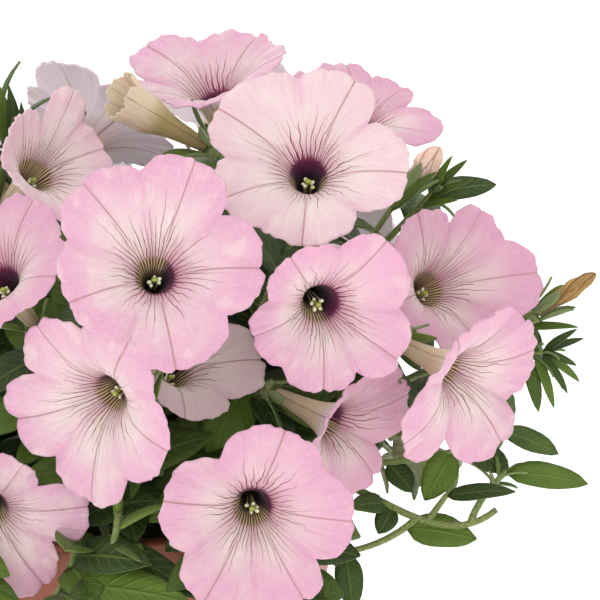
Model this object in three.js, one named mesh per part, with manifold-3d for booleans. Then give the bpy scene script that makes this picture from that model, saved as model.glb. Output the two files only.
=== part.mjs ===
// A potted trailing petunia of the hanging-basket kind: a plain round plastic pot filled with
// potting soil, out of which leafy stems rise and arch over to carry pale pink trumpet blooms.
// Millimetres, +Z up. The origin is the centre of the flat underside of the pot, and -Y is the
// side with the most blooms.

import * as THREE from 'three';
import { mergeVertices } from 'three/addons/utils/BufferGeometryUtils.js';
import Module from 'manifold-3d';

const wasm = await Module();
wasm.setup();

// ---- driving dimensions ---------------------------------------------------------------------

const POT_HEIGHT = 135;
const POT_MOUTH_RADIUS = 95;      // outside, just under the lip
const POT_BASE_RADIUS = 68;
const POT_WALL = 2.6;
const POT_LIP_HEIGHT = 14;
const POT_LIP_OUT = 4;            // how far the lip stands out from the wall
const POT_SIDES = 36;
const DRAIN_RADIUS = 3;
const DRAIN_COUNT = 5;
const DRAIN_RING = 44;            // drain holes lie on this radius

const SOIL_TOP = 119;
const SEAT_GAP = 0.3;             // clearance between pieces that rest on each other

const STEM_RADIUS = 1.6;
const STEM_SIDES = 5;
const STEM_STEPS = 6;
const BRANCH_RADIUS = 1.4;
const BRANCH_STEPS = 4;
const STEM_SINK = 15;             // how deep a stem is set in the soil
const HOLE_CLEARANCE = 0.8;

const CALYX_RADIUS = 3.2;         // the green cup that a bloom sits in
const CALYX_FOOT = 2.9;           // radius where the cup meets the stem
const CALYX_LENGTH = 5;
const CALYX_SEAT = 2;             // from the end of the stem to the seat of the bloom
const SEPAL_LENGTH = 17;
const SEPAL_FLARE = 0.36;         // radians, off the axis of the bloom

const TUBE_LENGTH = 28;           // from the calyx to the throat of a bloom
const THROAT_RADIUS = 7;
const NECK_RADIUS = 2.4;
const THROAT_DEPTH = 16;
const PETAL_WALL = 1.1;
const PETAL_LENGTH = 34;          // along the surface, from the throat to a lobe's tip
const FUNNEL_ANGLE = 62;          // degrees, how steeply the limb leaves the throat
const OPEN_ANGLE = 8;             // degrees, what is left of that at the edge
const NOTCH_REACH = 0.8;          // how far the notches between lobes reach, to a whole lobe
const LOBE_FOLD = 1.6;            // each lobe is folded this much along its mid-vein
const LOBES = 5;

const BLADE_THICKNESS = 0.9;
const BLADE_SINK = 1.5;           // how far inside the end of a stem the last leaves start
const ROOT_OUT = 0.3;             // a leaf starts this far out, as a share of its stem's radius
const LEAF_LENGTH = 44;
const LEAF_WIDTH = 22;
const LEAF_CUP = 0.14;            // how far a leaf's edges rise, to half its width
const LEAF_SPACING = 36;          // along a stem that carries a bloom
const SPRAY_SPACING = 22;         // along a leafy shoot
const YOUNG_LENGTH = 24;
const YOUNG_WIDTH = 4.4;
const GOLDEN_TURN = 137.5;
// How far a stem's curve runs straight at its start and at its end, as shares of its span.
const CURVE_SHAPES = [[0.35, 0.3], [0.35, 0.2], [0.2, 0.3], [0.5, 0.3], [0.35, 0.45], [0.5, 0.15]];

// Each bloom: its throat centre, the way it faces (yaw 0 is -Y, pitch 0 is level), and what sets
// it apart from a plain one. Its lobes lie evenly from the angle turn on, or veins and gaps are
// the angles of the lobes and of the notches after them. lobe and notch are how far each reaches,
// as a share of petal, and lean is how many degrees each lobe stands forward.
const BLOOMS = {
  bloom_01: { at: [43, -18, 290], yaw: -34, pitch: 66, petal: 34, open: 14,
    veins: [78, 164, 235, 300, 380], gaps: [130, 201, 268, 340, 408],
    lobe: [0.8, 1.06, 0.9, 0.85, 0.92], notch: [0.66, 0.6, 0.75, 0.75, 0.76] },
  bloom_02: { at: [79, -100, 274], yaw: 2, pitch: 34, veins: [62, 148, 205, 264, 352],
    gaps: [96, 176, 235, 312, 397], lobe: [1.04, 1.1, 1, 0.92, 1],
    notch: [0.9, 0.8, 0.84, 0.62, 0.68] },
  bloom_03: { at: [25, -142, 246], yaw: 6, pitch: 27, petal: 35,
    veins: [68, 130, 204, 278, 357], gaps: [98, 163, 246, 322, 397],
    lobe: [1.1, 1.08, 0.96, 1.06, 1.02], notch: [0.93, 0.86, 0.66, 0.78, 0.77] },
  bloom_04: { at: [9, -136, 202], yaw: -34, pitch: -13, veins: [52, 122, 196, 262, 337],
    gaps: [92, 160, 227, 290, 380], lobe: [1.08, 0.96, 1.1, 1.08, 0.92],
    notch: [0.74, 0.66, 0.84, 0.76, 0.82] },
  bloom_05: { at: [83, -128, 233], yaw: 14, pitch: -4, petal: 26.5,
    veins: [51, 124, 198, 270, 324], gaps: [80, 168, 233, 296, 360],
    lobe: [1.16, 0.92, 0.92, 1.02, 1.14], notch: [0.72, 0.64, 0.82, 0.84, 0.86],
    lean: [0, 14, -8, -10, 0] },
  bloom_06: { at: [59, -140, 161], yaw: 4, pitch: 2, petal: 33,
    veins: [70, 168, 240, 300, 357], gaps: [121, 208, 270, 324, 391],
    lobe: [0.93, 0.98, 1.04, 1.04, 1.04], notch: [0.58, 0.74, 0.86, 0.74, 0.82] },
  bloom_07: { at: [28, -78, 196], yaw: 40, pitch: 44, petal: 29,
    veins: [55, 115, 170, 241, 343], gaps: [85, 142, 203, 294, 382], lobe: [1, 1, 0.8, 0.94, 1.05],
    notch: [0.8, 0.8, 0.45, 0.64, 0.8] },
  bloom_08: { at: [125, -46, 221], yaw: 38, pitch: 22, veins: [47, 104, 190, 290, 356],
    gaps: [68, 150, 240, 322, 382], lobe: [0.98, 0.78, 0.7, 0.8, 1.2],
    notch: [0.6, 0.62, 0.6, 0.7, 0.9] },
  bloom_09: { at: [131, -98, 202], yaw: 52, pitch: -16, petal: 33,
    veins: [60, 135, 215, 310, 373], gaps: [95, 175, 262, 333, 407],
    lobe: [0.84, 0.9, 1.04, 1.12, 0.98], notch: [0.75, 0.7, 0.6, 0.78, 0.82],
    lean: [0, 7, -25, 0, 0] },
  bloom_10: { at: [87, -98, 182], yaw: 50, pitch: -14, petal: 28,
    veins: [77, 150, 222, 312, 380], gaps: [110, 188, 263, 333, 405],
    lobe: [1.02, 0.95, 0.95, 0.96, 1.02], notch: [0.8, 0.8, 0.6, 0.6, 0.8],
    lean: [10, 20, -15, 0, 0] },
  bloom_11: { at: [99, 0, 277], yaw: 35, pitch: 63, petal: 28,
    veins: [19, 73, 150, 220, 301], gaps: [50, 111, 185, 262, 358], lobe: [0.86, 0.92, 1, 1, 1.05],
    notch: [0.66, 0.76, 0.8, 0.8, 0.56] },
  bloom_12: { at: [-22, -78, 271], yaw: 44, pitch: 38, petal: 26,
    veins: [49, 112, 185, 270, 363], gaps: [72, 150, 230, 318, 390],
    lobe: [1.2, 0.8, 0.8, 0.9, 0.95], notch: [0.5, 0.7, 0.8, 0.8, 0.85], lean: [6, 42, 20, 0, 0] },
  bloom_13: { at: [-11, 18, 268], yaw: 150, pitch: 40, turn: 84, petal: 30 },
  bloom_14: { at: [19, -50, 289], yaw: -62, pitch: 30, turn: 84, petal: 16, funnel: 92,
    open: 76, faded: true },
  bloom_15: { at: [-31, -119, 238], yaw: -28, pitch: 42, petal: 28,
    veins: [76, 148, 220, 285, 353], gaps: [106, 184, 252, 320, 388],
    lobe: [1.02, 1, 0.95, 0.95, 1.18], notch: [0.7, 0.8, 0.8, 0.8, 0.96] },
  bloom_16: { at: [-39, -104, 150], yaw: 2, pitch: -4, petal: 33,
    veins: [57, 128, 210, 308, 369], gaps: [92, 170, 262, 338, 394], lobe: [0.7, 1, 1, 0.92, 1.1],
    notch: [0.7, 0.8, 0.8, 0.62, 0.56] },
  bloom_17: { at: [-53, -40, 267], yaw: -50, pitch: 30, turn: 84, petal: 28 },
  bloom_18: { at: [-108, -92, 190], yaw: -52, pitch: 4, turn: 30 },
  bloom_19: { at: [-112, -40, 240], yaw: -72, pitch: 30, turn: 60, petal: 33 },
  bloom_20: { at: [-150, -10, 180], yaw: -95, pitch: 0, turn: 84 },
  bloom_21: { at: [-118, 48, 236], yaw: -118, pitch: 28, turn: 20, petal: 33 },
  bloom_22: { at: [-96, 112, 176], yaw: -140, pitch: -2, turn: 50 },
  bloom_23: { at: [-78, 62, 284], yaw: -145, pitch: 45, turn: 66, petal: 33 },
  bloom_24: { at: [-30, 128, 228], yaw: -168, pitch: 24, turn: 30 },
  bloom_25: { at: [8, 146, 166], yaw: 176, pitch: 0, turn: 84, petal: 33 },
  bloom_26: { at: [42, 112, 262], yaw: 158, pitch: 44, turn: 70 },
  bloom_27: { at: [88, 116, 196], yaw: 142, pitch: 8, turn: 40 },
  bloom_28: { at: [86, 52, 246], yaw: 110, pitch: 15, turn: 60, petal: 33 },
  bloom_29: { at: [140, 30, 190], yaw: 98, pitch: 2, turn: 84, petal: 33 },
};

// Each stem: where it stands in the soil, and the tips that it carries. A tip is a bloom or a
// bud by name, or a shoot that ends in young leaves. The first tip is the stem's own end, and
// the others branch off below it.
const STEMS = {
  stem_01: { hole: [36, -34], tips: ['bloom_02'] },
  stem_02: { hole: [10, -44], tips: ['bloom_03', 'bloom_07'] },
  stem_03: { hole: [18, -62], tips: ['bloom_04'] },
  stem_04: { hole: [46, -50], tips: ['bloom_05', 'bloom_10', 'rim_1'] },
  stem_05: { hole: [36, -66], tips: ['bloom_06', 'rim_2'] },
  stem_06: { hole: [62, -16], tips: ['bloom_08', 'bloom_09'] },
  stem_07: { hole: [44, 6], tips: ['bloom_11'] },
  stem_08: { hole: [22, -10], tips: ['bloom_01', 'bloom_14', 'bloom_13'] },
  stem_09: { hole: [-18, -20], tips: ['bloom_12', 'bloom_17'] },
  stem_10: { hole: [-8, -54], tips: ['bloom_15', 'rim_3'] },
  stem_11: { hole: [-32, -60], tips: ['bloom_16', 'rim_4'] },
  stem_12: { hole: [-52, -38], tips: ['bloom_18', 'bloom_19', 'rim_5'] },
  stem_13: { hole: [-68, -4], tips: ['bloom_20', 'bloom_21', 'rim_6'] },
  stem_14: { hole: [-46, 52], tips: ['bloom_22', 'rim_7'] },
  stem_15: { hole: [-20, 34], tips: ['bloom_24', 'bloom_23'] },
  stem_16: { hole: [2, 66], tips: ['bloom_25', 'rim_8'] },
  stem_17: { hole: [34, 48], tips: ['bloom_27', 'bloom_26', 'rim_9'] },
  stem_18: { hole: [62, 24], tips: ['bloom_29', 'bloom_28', 'rim_10'] },
  shoot_trailing: { hole: [62, -38], tips: ['trail', 'trail_low', 'trail_stub', 'trail_node',
    'corner'] },
  shoot_right: { hole: [74, 4], tips: ['bud_tan', 'spray_right'] },
  shoot_top: { hole: [42, -14], tips: ['spray_top', 'bud_peach'] },
  shoot_front: { hole: [2, -72], tips: ['spray_front'] },
  shoot_left: { hole: [-34, 8], tips: ['spray_left'] },
  shoot_east: { hole: [54, 44], tips: ['spray_east'] },
  shoot_back: { hole: [-22, 60], tips: ['spray_back'] },
  shoot_west: { hole: [-62, 26], tips: ['spray_west'] },
};

// Closed buds and wilted blooms that sit in a calyx, and the leafy ends of shoots.
const BUDS = {
  bud_tan: { at: [166, -28, 206], yaw: 82, pitch: 36, length: 29, radius: 3.6 },
  bud_peach: { at: [114, -30, 253], yaw: 88, pitch: 52, length: 24, radius: 5.4 },
};
const SPRAYS = {
  trail: { at: [151, -70, 140], young: 0, low: [80, -55, 185], near: [118, -80, 115] },
  trail_low: { at: [89, -80, 126], young: 0, from: 0.7, low: [114, -73, 131],
    near: [102, -72, 124] },
  trail_stub: { at: [132, -70, 146], young: 0, from: 0.74, low: [127, -70, 139],
    near: [130, -70, 143] },
  trail_node: { at: [155, -66, 154], young: 6, size: 0.5, from: 0.9, low: [143, -69, 142],
    near: [150, -67, 150] },
  corner: { at: [155, -64, 171], young: 2, size: 0.5, from: 0.25, low: [95, -56, 158],
    near: [130, -60, 152] },
  spray_right: { at: [170, -45, 196], yaw: 70, pitch: 10, young: 10, size: 0.5 },
  spray_top: { at: [130, -30, 259], yaw: 70, pitch: 50, young: 7, size: 0.62 },
  spray_front: { at: [10, -122, 154], young: 8, size: 0.8, low: [2, -80, 175],
    near: [4, -125, 110] },
  spray_left: { at: [-44, -14, 282], yaw: -70, pitch: 60, young: 9 },
  spray_east: { at: [118, 84, 120], yaw: 122, pitch: -40, young: 2 },
  spray_back: { at: [-50, 134, 114], yaw: -158, pitch: -40, young: 2 },
  spray_west: { at: [-138, 40, 114], yaw: -100, pitch: -40, young: 2 },
  rim_1: { at: [70, -110, 114], yaw: 10, pitch: -60, young: 2, from: 0.3 },
  rim_2: { at: [42, -126, 110], yaw: 10, pitch: -60, young: 2, from: 0.35 },
  rim_3: { at: [-20, -130, 112], yaw: -10, pitch: -55, young: 2, from: 0.3 },
  rim_4: { at: [-74, -118, 108], yaw: -34, pitch: -50, young: 2, from: 0.4 },
  rim_5: { at: [-114, -84, 108], yaw: -54, pitch: -50, young: 2, from: 0.3 },
  rim_6: { at: [-140, -30, 112], yaw: -78, pitch: -50, young: 2, from: 0.3 },
  rim_7: { at: [-102, 98, 110], yaw: -134, pitch: -50, young: 2, from: 0.4 },
  rim_8: { at: [6, 138, 108], yaw: 178, pitch: -50, young: 2, from: 0.4 },
  rim_9: { at: [68, 126, 112], yaw: 150, pitch: -50, young: 2, from: 0.3 },
  rim_10: { at: [140, 20, 136], yaw: 96, pitch: -30, young: 2, from: 0.3 },
};
const BRANCH_SHARE = 0.62;        // where a second bloom leaves its stem

// Leaves with places of their own, by the tip that their stem ends in: the share of that stem
// where each one grows, the place of its own tip, and its width.
const LEAVES = {
  trail: [[0.58, [95, -80, 144], 9], [0.61, [106, -74, 132], 9]],
  trail_low: [[0.2, [143, -72, 129], 14], [0.9, [96, -84, 105], 11]],
  trail_stub: [[0.92, [157, -80, 150], 7]],
  trail_node: [[0.96, [186, -62, 148], 11]],
  corner: [[0.97, [175, -58, 159], 9.5], [0.75, [124, -66, 143], 13], [0.8, [156, -60, 153], 12],
    [0.45, [119, -62, 145], 10]],
  spray_top: [[0.96, [152, -20, 257], 10], [0.97, [134, -42, 272], 3.2], [0.98, [140, -34, 269], 3.4],
    [0.94, [142, -37, 262], 3], [0.9, [133, -37, 244], 4], [0.84, [131, -42, 245], 3.4],
    [0.92, [136, -37, 254], 3.4], [0.78, [117, -50, 229], 8]],
  bud_peach: [[0.86, [128, -38, 265], 4.4]],
  bud_tan: [[0.93, [184, -32, 203], 3.6]],
  spray_right: [[0.99, [182, -50, 206], 3.2], [0.98, [185, -44, 201], 3.2], [0.95, [166, -52, 207], 3.6],
    [0.98, [179, -49, 181], 3.4], [0.99, [184, -43, 184], 3.6], [0.93, [174, -48, 175], 4],
    [0.99, [182, -50, 192], 3.4], [0.86, [168, -50, 174], 6]],
  spray_front: [[0.64, [41, -133, 124], 12], [0.68, [20, -124, 121], 8]],
  rim_3: [[0.62, [26, -131, 121], 15]],
};
const LEAVES_FACE = [0.1, -0.78, 0.62];
const LEAVES_ARCH = 0.6;

// ---- small helpers --------------------------------------------------------------------------

const UP = new THREE.Vector3(0, 0, 1);
const radians = THREE.MathUtils.degToRad;

function vector(list) {
  return new THREE.Vector3(list[0], list[1], list[2]);
}

// base + a*x + b*y + c*z for up to three directions
function offset(base, x, a, y, b, z, c) {
  const point = base.clone().addScaledVector(x, a);
  if (y) point.addScaledVector(y, b);
  if (z) point.addScaledVector(z, c);
  return point;
}

function facing(yaw, pitch) {
  const turn = radians(yaw);
  const rise = radians(pitch);
  const level = Math.cos(rise);
  return new THREE.Vector3(Math.sin(turn) * level, -Math.cos(turn) * level, Math.sin(rise));
}

// Two directions square to an axis: across (level) and over (the upper side).
function square(axis) {
  const pole = Math.abs(axis.z) > 0.95 ? new THREE.Vector3(0, 1, 0) : UP;
  const across = pole.clone().cross(axis).normalize();
  return { across, over: axis.clone().cross(across) };
}

// The same number between 0 and 1 for the same whole number.
function draw(seed) {
  let bits = Math.imul(seed + 7919, 0x85ebca6b);
  bits ^= bits >>> 13;
  bits = Math.imul(bits, 0xc2b2ae35);
  bits ^= bits >>> 16;
  return (bits >>> 0) / 4294967296;
}

function closedMesh(points, triangles) {
  const geometry = new THREE.BufferGeometry();
  const flat = points.flatMap((point) => [point.x, point.y, point.z]);
  geometry.setAttribute('position', new THREE.Float32BufferAttribute(flat, 3));
  geometry.setIndex(triangles.flat());
  return geometry;
}

function toSolid(geometry) {
  const bare = geometry.clone();
  bare.deleteAttribute('normal');
  bare.deleteAttribute('uv');
  const merged = mergeVertices(bare, 1e-4);
  return new wasm.Manifold(new wasm.Mesh({
    numProp: 3,
    vertProperties: new Float32Array(merged.attributes.position.array),
    triVerts: new Uint32Array(merged.index.array),
  }));
}

function toGeometry(solid) {
  const mesh = solid.getMesh();
  const geometry = new THREE.BufferGeometry();
  const positions = new Float32Array(mesh.vertProperties);
  geometry.setAttribute('position', new THREE.BufferAttribute(positions, 3));
  geometry.setIndex(new THREE.BufferAttribute(new Uint32Array(mesh.triVerts), 1));
  return geometry;
}

// Joins closed shapes into one body and leaves out what doesn't touch it.
function fuse(geometries) {
  const joined = geometries.map(toSolid).reduce((whole, next) => whole.add(next));
  const bodies = joined.decompose();
  bodies.sort((a, b) => b.volume() - a.volume());
  return toGeometry(bodies[0]);
}

// ---- blooms ---------------------------------------------------------------------------------

// What the table leaves open is drawn for each bloom, a little off the even five-fold shape.
Object.values(BLOOMS).forEach((bloom, index) => {
  const off = (range, count) => range * (draw(index * 64 + count) - 0.5);
  const each = (value) => Array.from({ length: LOBES }, (_, lobe) => value(lobe));
  const turn = (lobe) => bloom.turn + lobe * 360 / LOBES;
  bloom.veins ??= each((lobe) => turn(lobe) + off(14, lobe));
  bloom.gaps ??= each((lobe) => turn(lobe + 0.5) + off(12, lobe + 8));
  bloom.lobe ??= each((lobe) => 1 + off(0.14, lobe + 16));
  bloom.notch ??= each((lobe) => NOTCH_REACH + off(0.14, lobe + 24));
  bloom.lean ??= each((lobe) => off(18, lobe + 32));
});

function wrap(lobe) {
  return ((lobe % LOBES) + LOBES) % LOBES;
}

// The angle round the axis at a place counted in lobes: whole numbers are mid-veins, halves are
// notches.
function petalAngle(bloom, place) {
  const own = Math.floor(place);
  const lobe = wrap(own);
  const part = place - own;
  const next = bloom.veins[wrap(lobe + 1)] + (lobe === LOBES - 1 ? 360 : 0);
  const degrees = part < 0.5
    ? bloom.veins[lobe] + (bloom.gaps[lobe] - bloom.veins[lobe]) * 2 * part
    : bloom.gaps[lobe] + (next - bloom.gaps[lobe]) * (2 * part - 1);
  return radians(degrees);
}

// Where the limb of a bloom lies, seen from its throat: the radius and the height at a place
// counted in lobes and at a share of the way from the throat to the edge. slope is its angle.
function limb(bloom, place, share) {
  const nearest = Math.floor(place + 0.5);
  const aside = 2 * (place - nearest);
  const own = wrap(nearest);
  const next = wrap(own + Math.sign(aside));
  const blend = 0.5 * aside * aside;
  const { lobe, notch, lean } = bloom;
  const open = radians((bloom.open || OPEN_ANGLE) + lean[own] + (lean[next] - lean[own]) * blend);
  const steep = radians(bloom.funnel || FUNNEL_ANGLE);
  const dip = lobe[own] - notch[aside < 0 ? next : own];
  const length = (bloom.petal || PETAL_LENGTH) * (lobe[own] - dip * Math.abs(aside) ** 3);
  const pieces = 12;
  let radius = THROAT_RADIUS;
  let height = 0;
  let slope = steep;
  for (let piece = 0; piece < pieces; piece += 1) {
    const along = (piece + 0.5) / pieces * share;
    const curl = (1 - along) ** 1.6;
    slope = steep * curl + open * (1 - curl);
    radius += Math.cos(slope) * length * share / pieces;
    height += Math.sin(slope) * length * share / pieces;
  }
  height += LOBE_FOLD * share * (Math.abs(aside) ** 1.5 - 0.4);
  return { radius, height, slope };
}

function bloomFrame(bloom) {
  const axis = facing(bloom.yaw, bloom.pitch);
  return { at: vector(bloom.at), axis, ...square(axis) };
}

function aroundAxis(frame, angle, radius, height) {
  return offset(frame.at, frame.across, Math.cos(angle) * radius,
    frame.over, Math.sin(angle) * radius, frame.axis, height);
}

// A trumpet: a funnel-shaped tube that opens into a limb with five rounded lobes.
function corolla(bloom) {
  const frame = bloomFrame(bloom);
  const around = 4 * LOBES;
  const half = around / 2;
  const points = [];
  const triangles = [];
  const ring = (steps, shape) => {
    const first = points.length;
    for (let step = 0; step < steps; step += 1) {
      const place = step / steps * LOBES;
      const { radius, height } = shape(place);
      points.push(aroundAxis(frame, petalAngle(bloom, place), radius, height));
    }
    return first;
  };
  const middle = 0.45;
  const apex = points.push(aroundAxis(frame, 0, 0, -THROAT_DEPTH)) - 1;
  const innerMouth = ring(half, () => ({ radius: THROAT_RADIUS - PETAL_WALL, height: 0 }));
  const innerMiddle = ring(around, (place) => limb(bloom, place, middle));
  const rim = ring(around, (place) => limb(bloom, place, 1));
  const outerMiddle = ring(around, (place) => {
    const { radius, height, slope } = limb(bloom, place, middle);
    return {
      radius: radius + Math.sin(slope) * PETAL_WALL,
      height: height - Math.cos(slope) * PETAL_WALL,
    };
  });
  const outerMouth = ring(half, () => ({ radius: THROAT_RADIUS + 0.4, height: -0.6 }));
  const neck = ring(LOBES, () => ({ radius: NECK_RADIUS, height: -TUBE_LENGTH }));
  // The faces point out of the wall: towards the axis inside, away from it outside.
  const face = (a, b, c, inside) => triangles.push(inside ? [a, b, c] : [a, c, b]);
  for (let step = 0; step < half; step += 1) {
    const after = (step + 1) % half;
    const left = 2 * step;
    const right = (2 * step + 2) % around;
    face(apex, innerMouth + step, innerMouth + after, true);
    for (const [mouth, mid, inside] of [[innerMouth, innerMiddle, true],
      [outerMouth, outerMiddle, false]]) {
      face(mouth + step, mid + left, mid + left + 1, inside);
      face(mouth + step, mid + left + 1, mouth + after, inside);
      face(mouth + after, mid + left + 1, mid + right, inside);
    }
    face(neck + Math.ceil(step / 2) % LOBES, outerMouth + step, outerMouth + after, false);
  }
  for (let lobe = 0; lobe < LOBES; lobe += 1) {
    const after = (lobe + 1) % LOBES;
    face(neck + lobe, outerMouth + 2 * lobe + 1, neck + after, false);
    if (lobe > 0 && lobe < LOBES - 1) face(neck, neck + lobe, neck + after, false);
  }
  for (let step = 0; step < around; step += 1) {
    const after = (step + 1) % around;
    for (const [mid, inside] of [[innerMiddle, true], [outerMiddle, false]]) {
      face(mid + step, rim + step, rim + after, inside);
      face(mid + step, rim + after, mid + after, inside);
    }
  }
  return closedMesh(points, triangles);
}

// A closed bud or a wilted bloom: a slim spindle, widest past its middle.
function bud(spec) {
  const profile = [[0, 0], [NECK_RADIUS, 0]];
  for (const [along, wide] of [[0.3, 0.62], [0.62, 1], [0.86, 0.7]]) {
    profile.push([wide * spec.radius, along * spec.length]);
  }
  profile.push([0, spec.length]);
  const outline = profile.map(([x, y]) => new THREE.Vector2(x, y));
  const shape = new THREE.LatheGeometry(outline, 8);
  const axis = facing(spec.yaw, spec.pitch);
  shape.applyQuaternion(new THREE.Quaternion().setFromUnitVectors(
    new THREE.Vector3(0, 1, 0), axis));
  const seat = offset(vector(spec.at), axis, CALYX_SEAT + SEAT_GAP);
  shape.translate(seat.x, seat.y, seat.z);
  return shape;
}

// ---- leaves ---------------------------------------------------------------------------------

// Half the width of a leaf blade along its length: ovate, narrow at both ends.
function leafOutline(share) {
  return Math.max(0, Math.sin(Math.PI * share ** 0.8)) ** 0.9;
}

// A place on a blade: share runs from its root to its tip and side from -1 to 1 across it.
// proud lifts the place off the blade's middle surface.
function leafPoint(leaf, share, side, proud = 0) {
  const bend = leaf.arch * share;
  const forward = leaf.length * Math.sin(bend) / leaf.arch;
  const drop = leaf.length * (1 - Math.cos(bend)) / leaf.arch;
  const across = leaf.along.clone().cross(leaf.face);
  const normal = leaf.face.clone().multiplyScalar(Math.cos(bend))
    .addScaledVector(leaf.along, Math.sin(bend));
  const half = leaf.width / 2 * leafOutline(share);
  const point = offset(leaf.root, leaf.along, forward, leaf.face, -drop, across, side * half);
  return point.addScaledVector(normal, Math.abs(side) * half * leaf.cup + proud);
}

// The middle line of a tube, which ends a little inside it.
function middleLine(path, steps) {
  const line = path.getSpacedPoints(steps);
  const [before, last] = line.slice(-2);
  last.lerp(before, BLADE_SINK / last.distanceTo(before));
  return line;
}

// The place nearest to a point on the middle lines of a stem's tubes.
function nearestOn(lines, point) {
  let best = null;
  for (const line of lines) {
    for (let index = 0; index + 1 < line.length; index += 1) {
      const stretch = new THREE.Line3(line[index], line[index + 1]);
      const place = stretch.closestPointToPoint(point, true, new THREE.Vector3());
      if (best === null || place.distanceTo(point) < best.distanceTo(point)) best = place;
    }
  }
  return best;
}

// A thin blade: a line of flat three-cornered sections between its root, sunk in the middle of
// its stem, and its tip, with the rib as the lower corner.
function blade(leaf, stations, lines) {
  const points = [nearestOn(lines, leaf.root)];
  const triangles = [];
  for (const share of stations) {
    points.push(leafPoint(leaf, share, -1), leafPoint(leaf, share, 1),
      leafPoint(leaf, share, 0, -BLADE_THICKNESS));
  }
  const tip = points.push(leafPoint(leaf, 1, 0)) - 1;
  const corners = 3;
  for (let corner = 0; corner < corners; corner += 1) {
    const after = (corner + 1) % corners;
    triangles.push([0, 1 + after, 1 + corner]);
    for (let row = 0; row + 1 < stations.length; row += 1) {
      const low = 1 + corners * row;
      const high = low + corners;
      triangles.push([low + corner, high + after, high + corner]);
      triangles.push([low + corner, low + after, high + after]);
    }
    const last = 1 + corners * (stations.length - 1);
    triangles.push([last + corner, last + after, tip]);
  }
  return closedMesh(points, triangles);
}

// Points spread over a blade from a share of its length to its tip.
function bladePoints(leaf, from = 0) {
  const rows = Math.ceil(leaf.length / 3);
  const columns = Math.ceil(leaf.width / 6);
  const points = [];
  for (let row = Math.ceil(from * rows); row <= rows; row += 1) {
    for (let column = -columns; column <= columns; column += 1) {
      points.push(leafPoint(leaf, row / rows, column / columns));
    }
  }
  return points;
}

// ---- room for the pieces --------------------------------------------------------------------

// The space round the plant in small cells. A cell knows whose piece is in it or next to it.
const CELL = 3;
const ROOM_LOW = [-210, -210, 60];
const ROOM_CELLS = [140, 140, 100];
const SEVERAL = 255;

class Room {
  constructor() {
    this.cells = new Uint8Array(ROOM_CELLS[0] * ROOM_CELLS[1] * ROOM_CELLS[2]);
  }

  index(x, y, z) {
    return (z * ROOM_CELLS[1] + y) * ROOM_CELLS[0] + x;
  }

  cell(point) {
    return [Math.floor((point.x - ROOM_LOW[0]) / CELL), Math.floor((point.y - ROOM_LOW[1]) / CELL),
      Math.floor((point.z - ROOM_LOW[2]) / CELL)];
  }

  mark(points, owner) {
    for (const point of points) {
      const [x, y, z] = this.cell(point);
      for (let up = z - 1; up <= z + 1; up += 1) {
        for (let over = y - 1; over <= y + 1; over += 1) {
          for (let across = x - 1; across <= x + 1; across += 1) {
            const here = this.index(across, over, up);
            const old = this.cells[here];
            this.cells[here] = old === 0 || old === owner ? owner : SEVERAL;
          }
        }
      }
    }
  }

  // How many of the points lie in a cell that another owner has.
  hits(points, owner) {
    let count = 0;
    for (const point of points) {
      const [x, y, z] = this.cell(point);
      const found = this.cells[this.index(x, y, z)];
      if (found !== 0 && found !== owner) count += 1;
    }
    return count;
  }
}

const flowerRoom = new Room();    // corollas, buds and the pot
const viewRoom = new Room();      // the open space in front of each bloom
const greenRoom = new Room();     // stems and all that grows from them, by stem
const bladeRoom = new Room();     // leaf blades past their roots

function markBloom(bloom, owner) {
  const frame = bloomFrame(bloom);
  const points = [];
  const view = [];
  for (let step = 0; step < 50; step += 1) {
    const place = step / 50 * LOBES;
    const angle = petalAngle(bloom, place);
    for (let row = 0; row <= 10; row += 1) {
      const { radius, height } = limb(bloom, place, row / 10);
      points.push(aroundAxis(frame, angle, radius, height));
    }
    for (let row = 0; row <= 7; row += 1) {
      const along = row / 7;
      const radius = NECK_RADIUS + (THROAT_RADIUS - NECK_RADIUS) * along;
      points.push(aroundAxis(frame, angle, radius, (along - 1) * TUBE_LENGTH));
    }
    for (let row = 2; row <= 7; row += 1) {
      const { radius, height } = limb(bloom, place, row / 10);
      for (const lift of [7, 14, 21]) {
        view.push(aroundAxis(frame, angle, radius, height + lift));
      }
    }
  }
  flowerRoom.mark(points, owner);
  viewRoom.mark(view, owner);
}

function markBud(spec, owner) {
  const axis = facing(spec.yaw, spec.pitch);
  const points = [];
  for (let along = 0; along <= spec.length; along += 3) {
    points.push(offset(vector(spec.at), axis, along));
  }
  flowerRoom.mark(points, owner);
}

// The pot's wall and all that lies under the soil is closed to leaves.
function markPot() {
  const points = [];
  for (let step = 0; step < 220; step += 1) {
    const angle = step / 220 * 2 * Math.PI;
    for (let height = 66; height <= POT_HEIGHT; height += 3) {
      const lip = height > POT_HEIGHT - POT_LIP_HEIGHT ? POT_LIP_OUT : 0;
      for (const radius of [potRadius(height) + lip, potRadius(height) - POT_WALL]) {
        points.push(new THREE.Vector3(Math.cos(angle) * radius, Math.sin(angle) * radius, height));
      }
    }
    for (let radius = 2; radius < POT_MOUTH_RADIUS; radius += 4) {
      points.push(new THREE.Vector3(Math.cos(angle) * radius, Math.sin(angle) * radius,
        SOIL_TOP - 3));
    }
  }
  flowerRoom.mark(points, SEVERAL);
}

// ---- stems ----------------------------------------------------------------------------------

// The number that a bloom or a bud has in the room for flowers.
function flowerMark(name) {
  return [...Object.keys(BLOOMS), ...Object.keys(BUDS)].indexOf(name) + 1;
}

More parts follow.
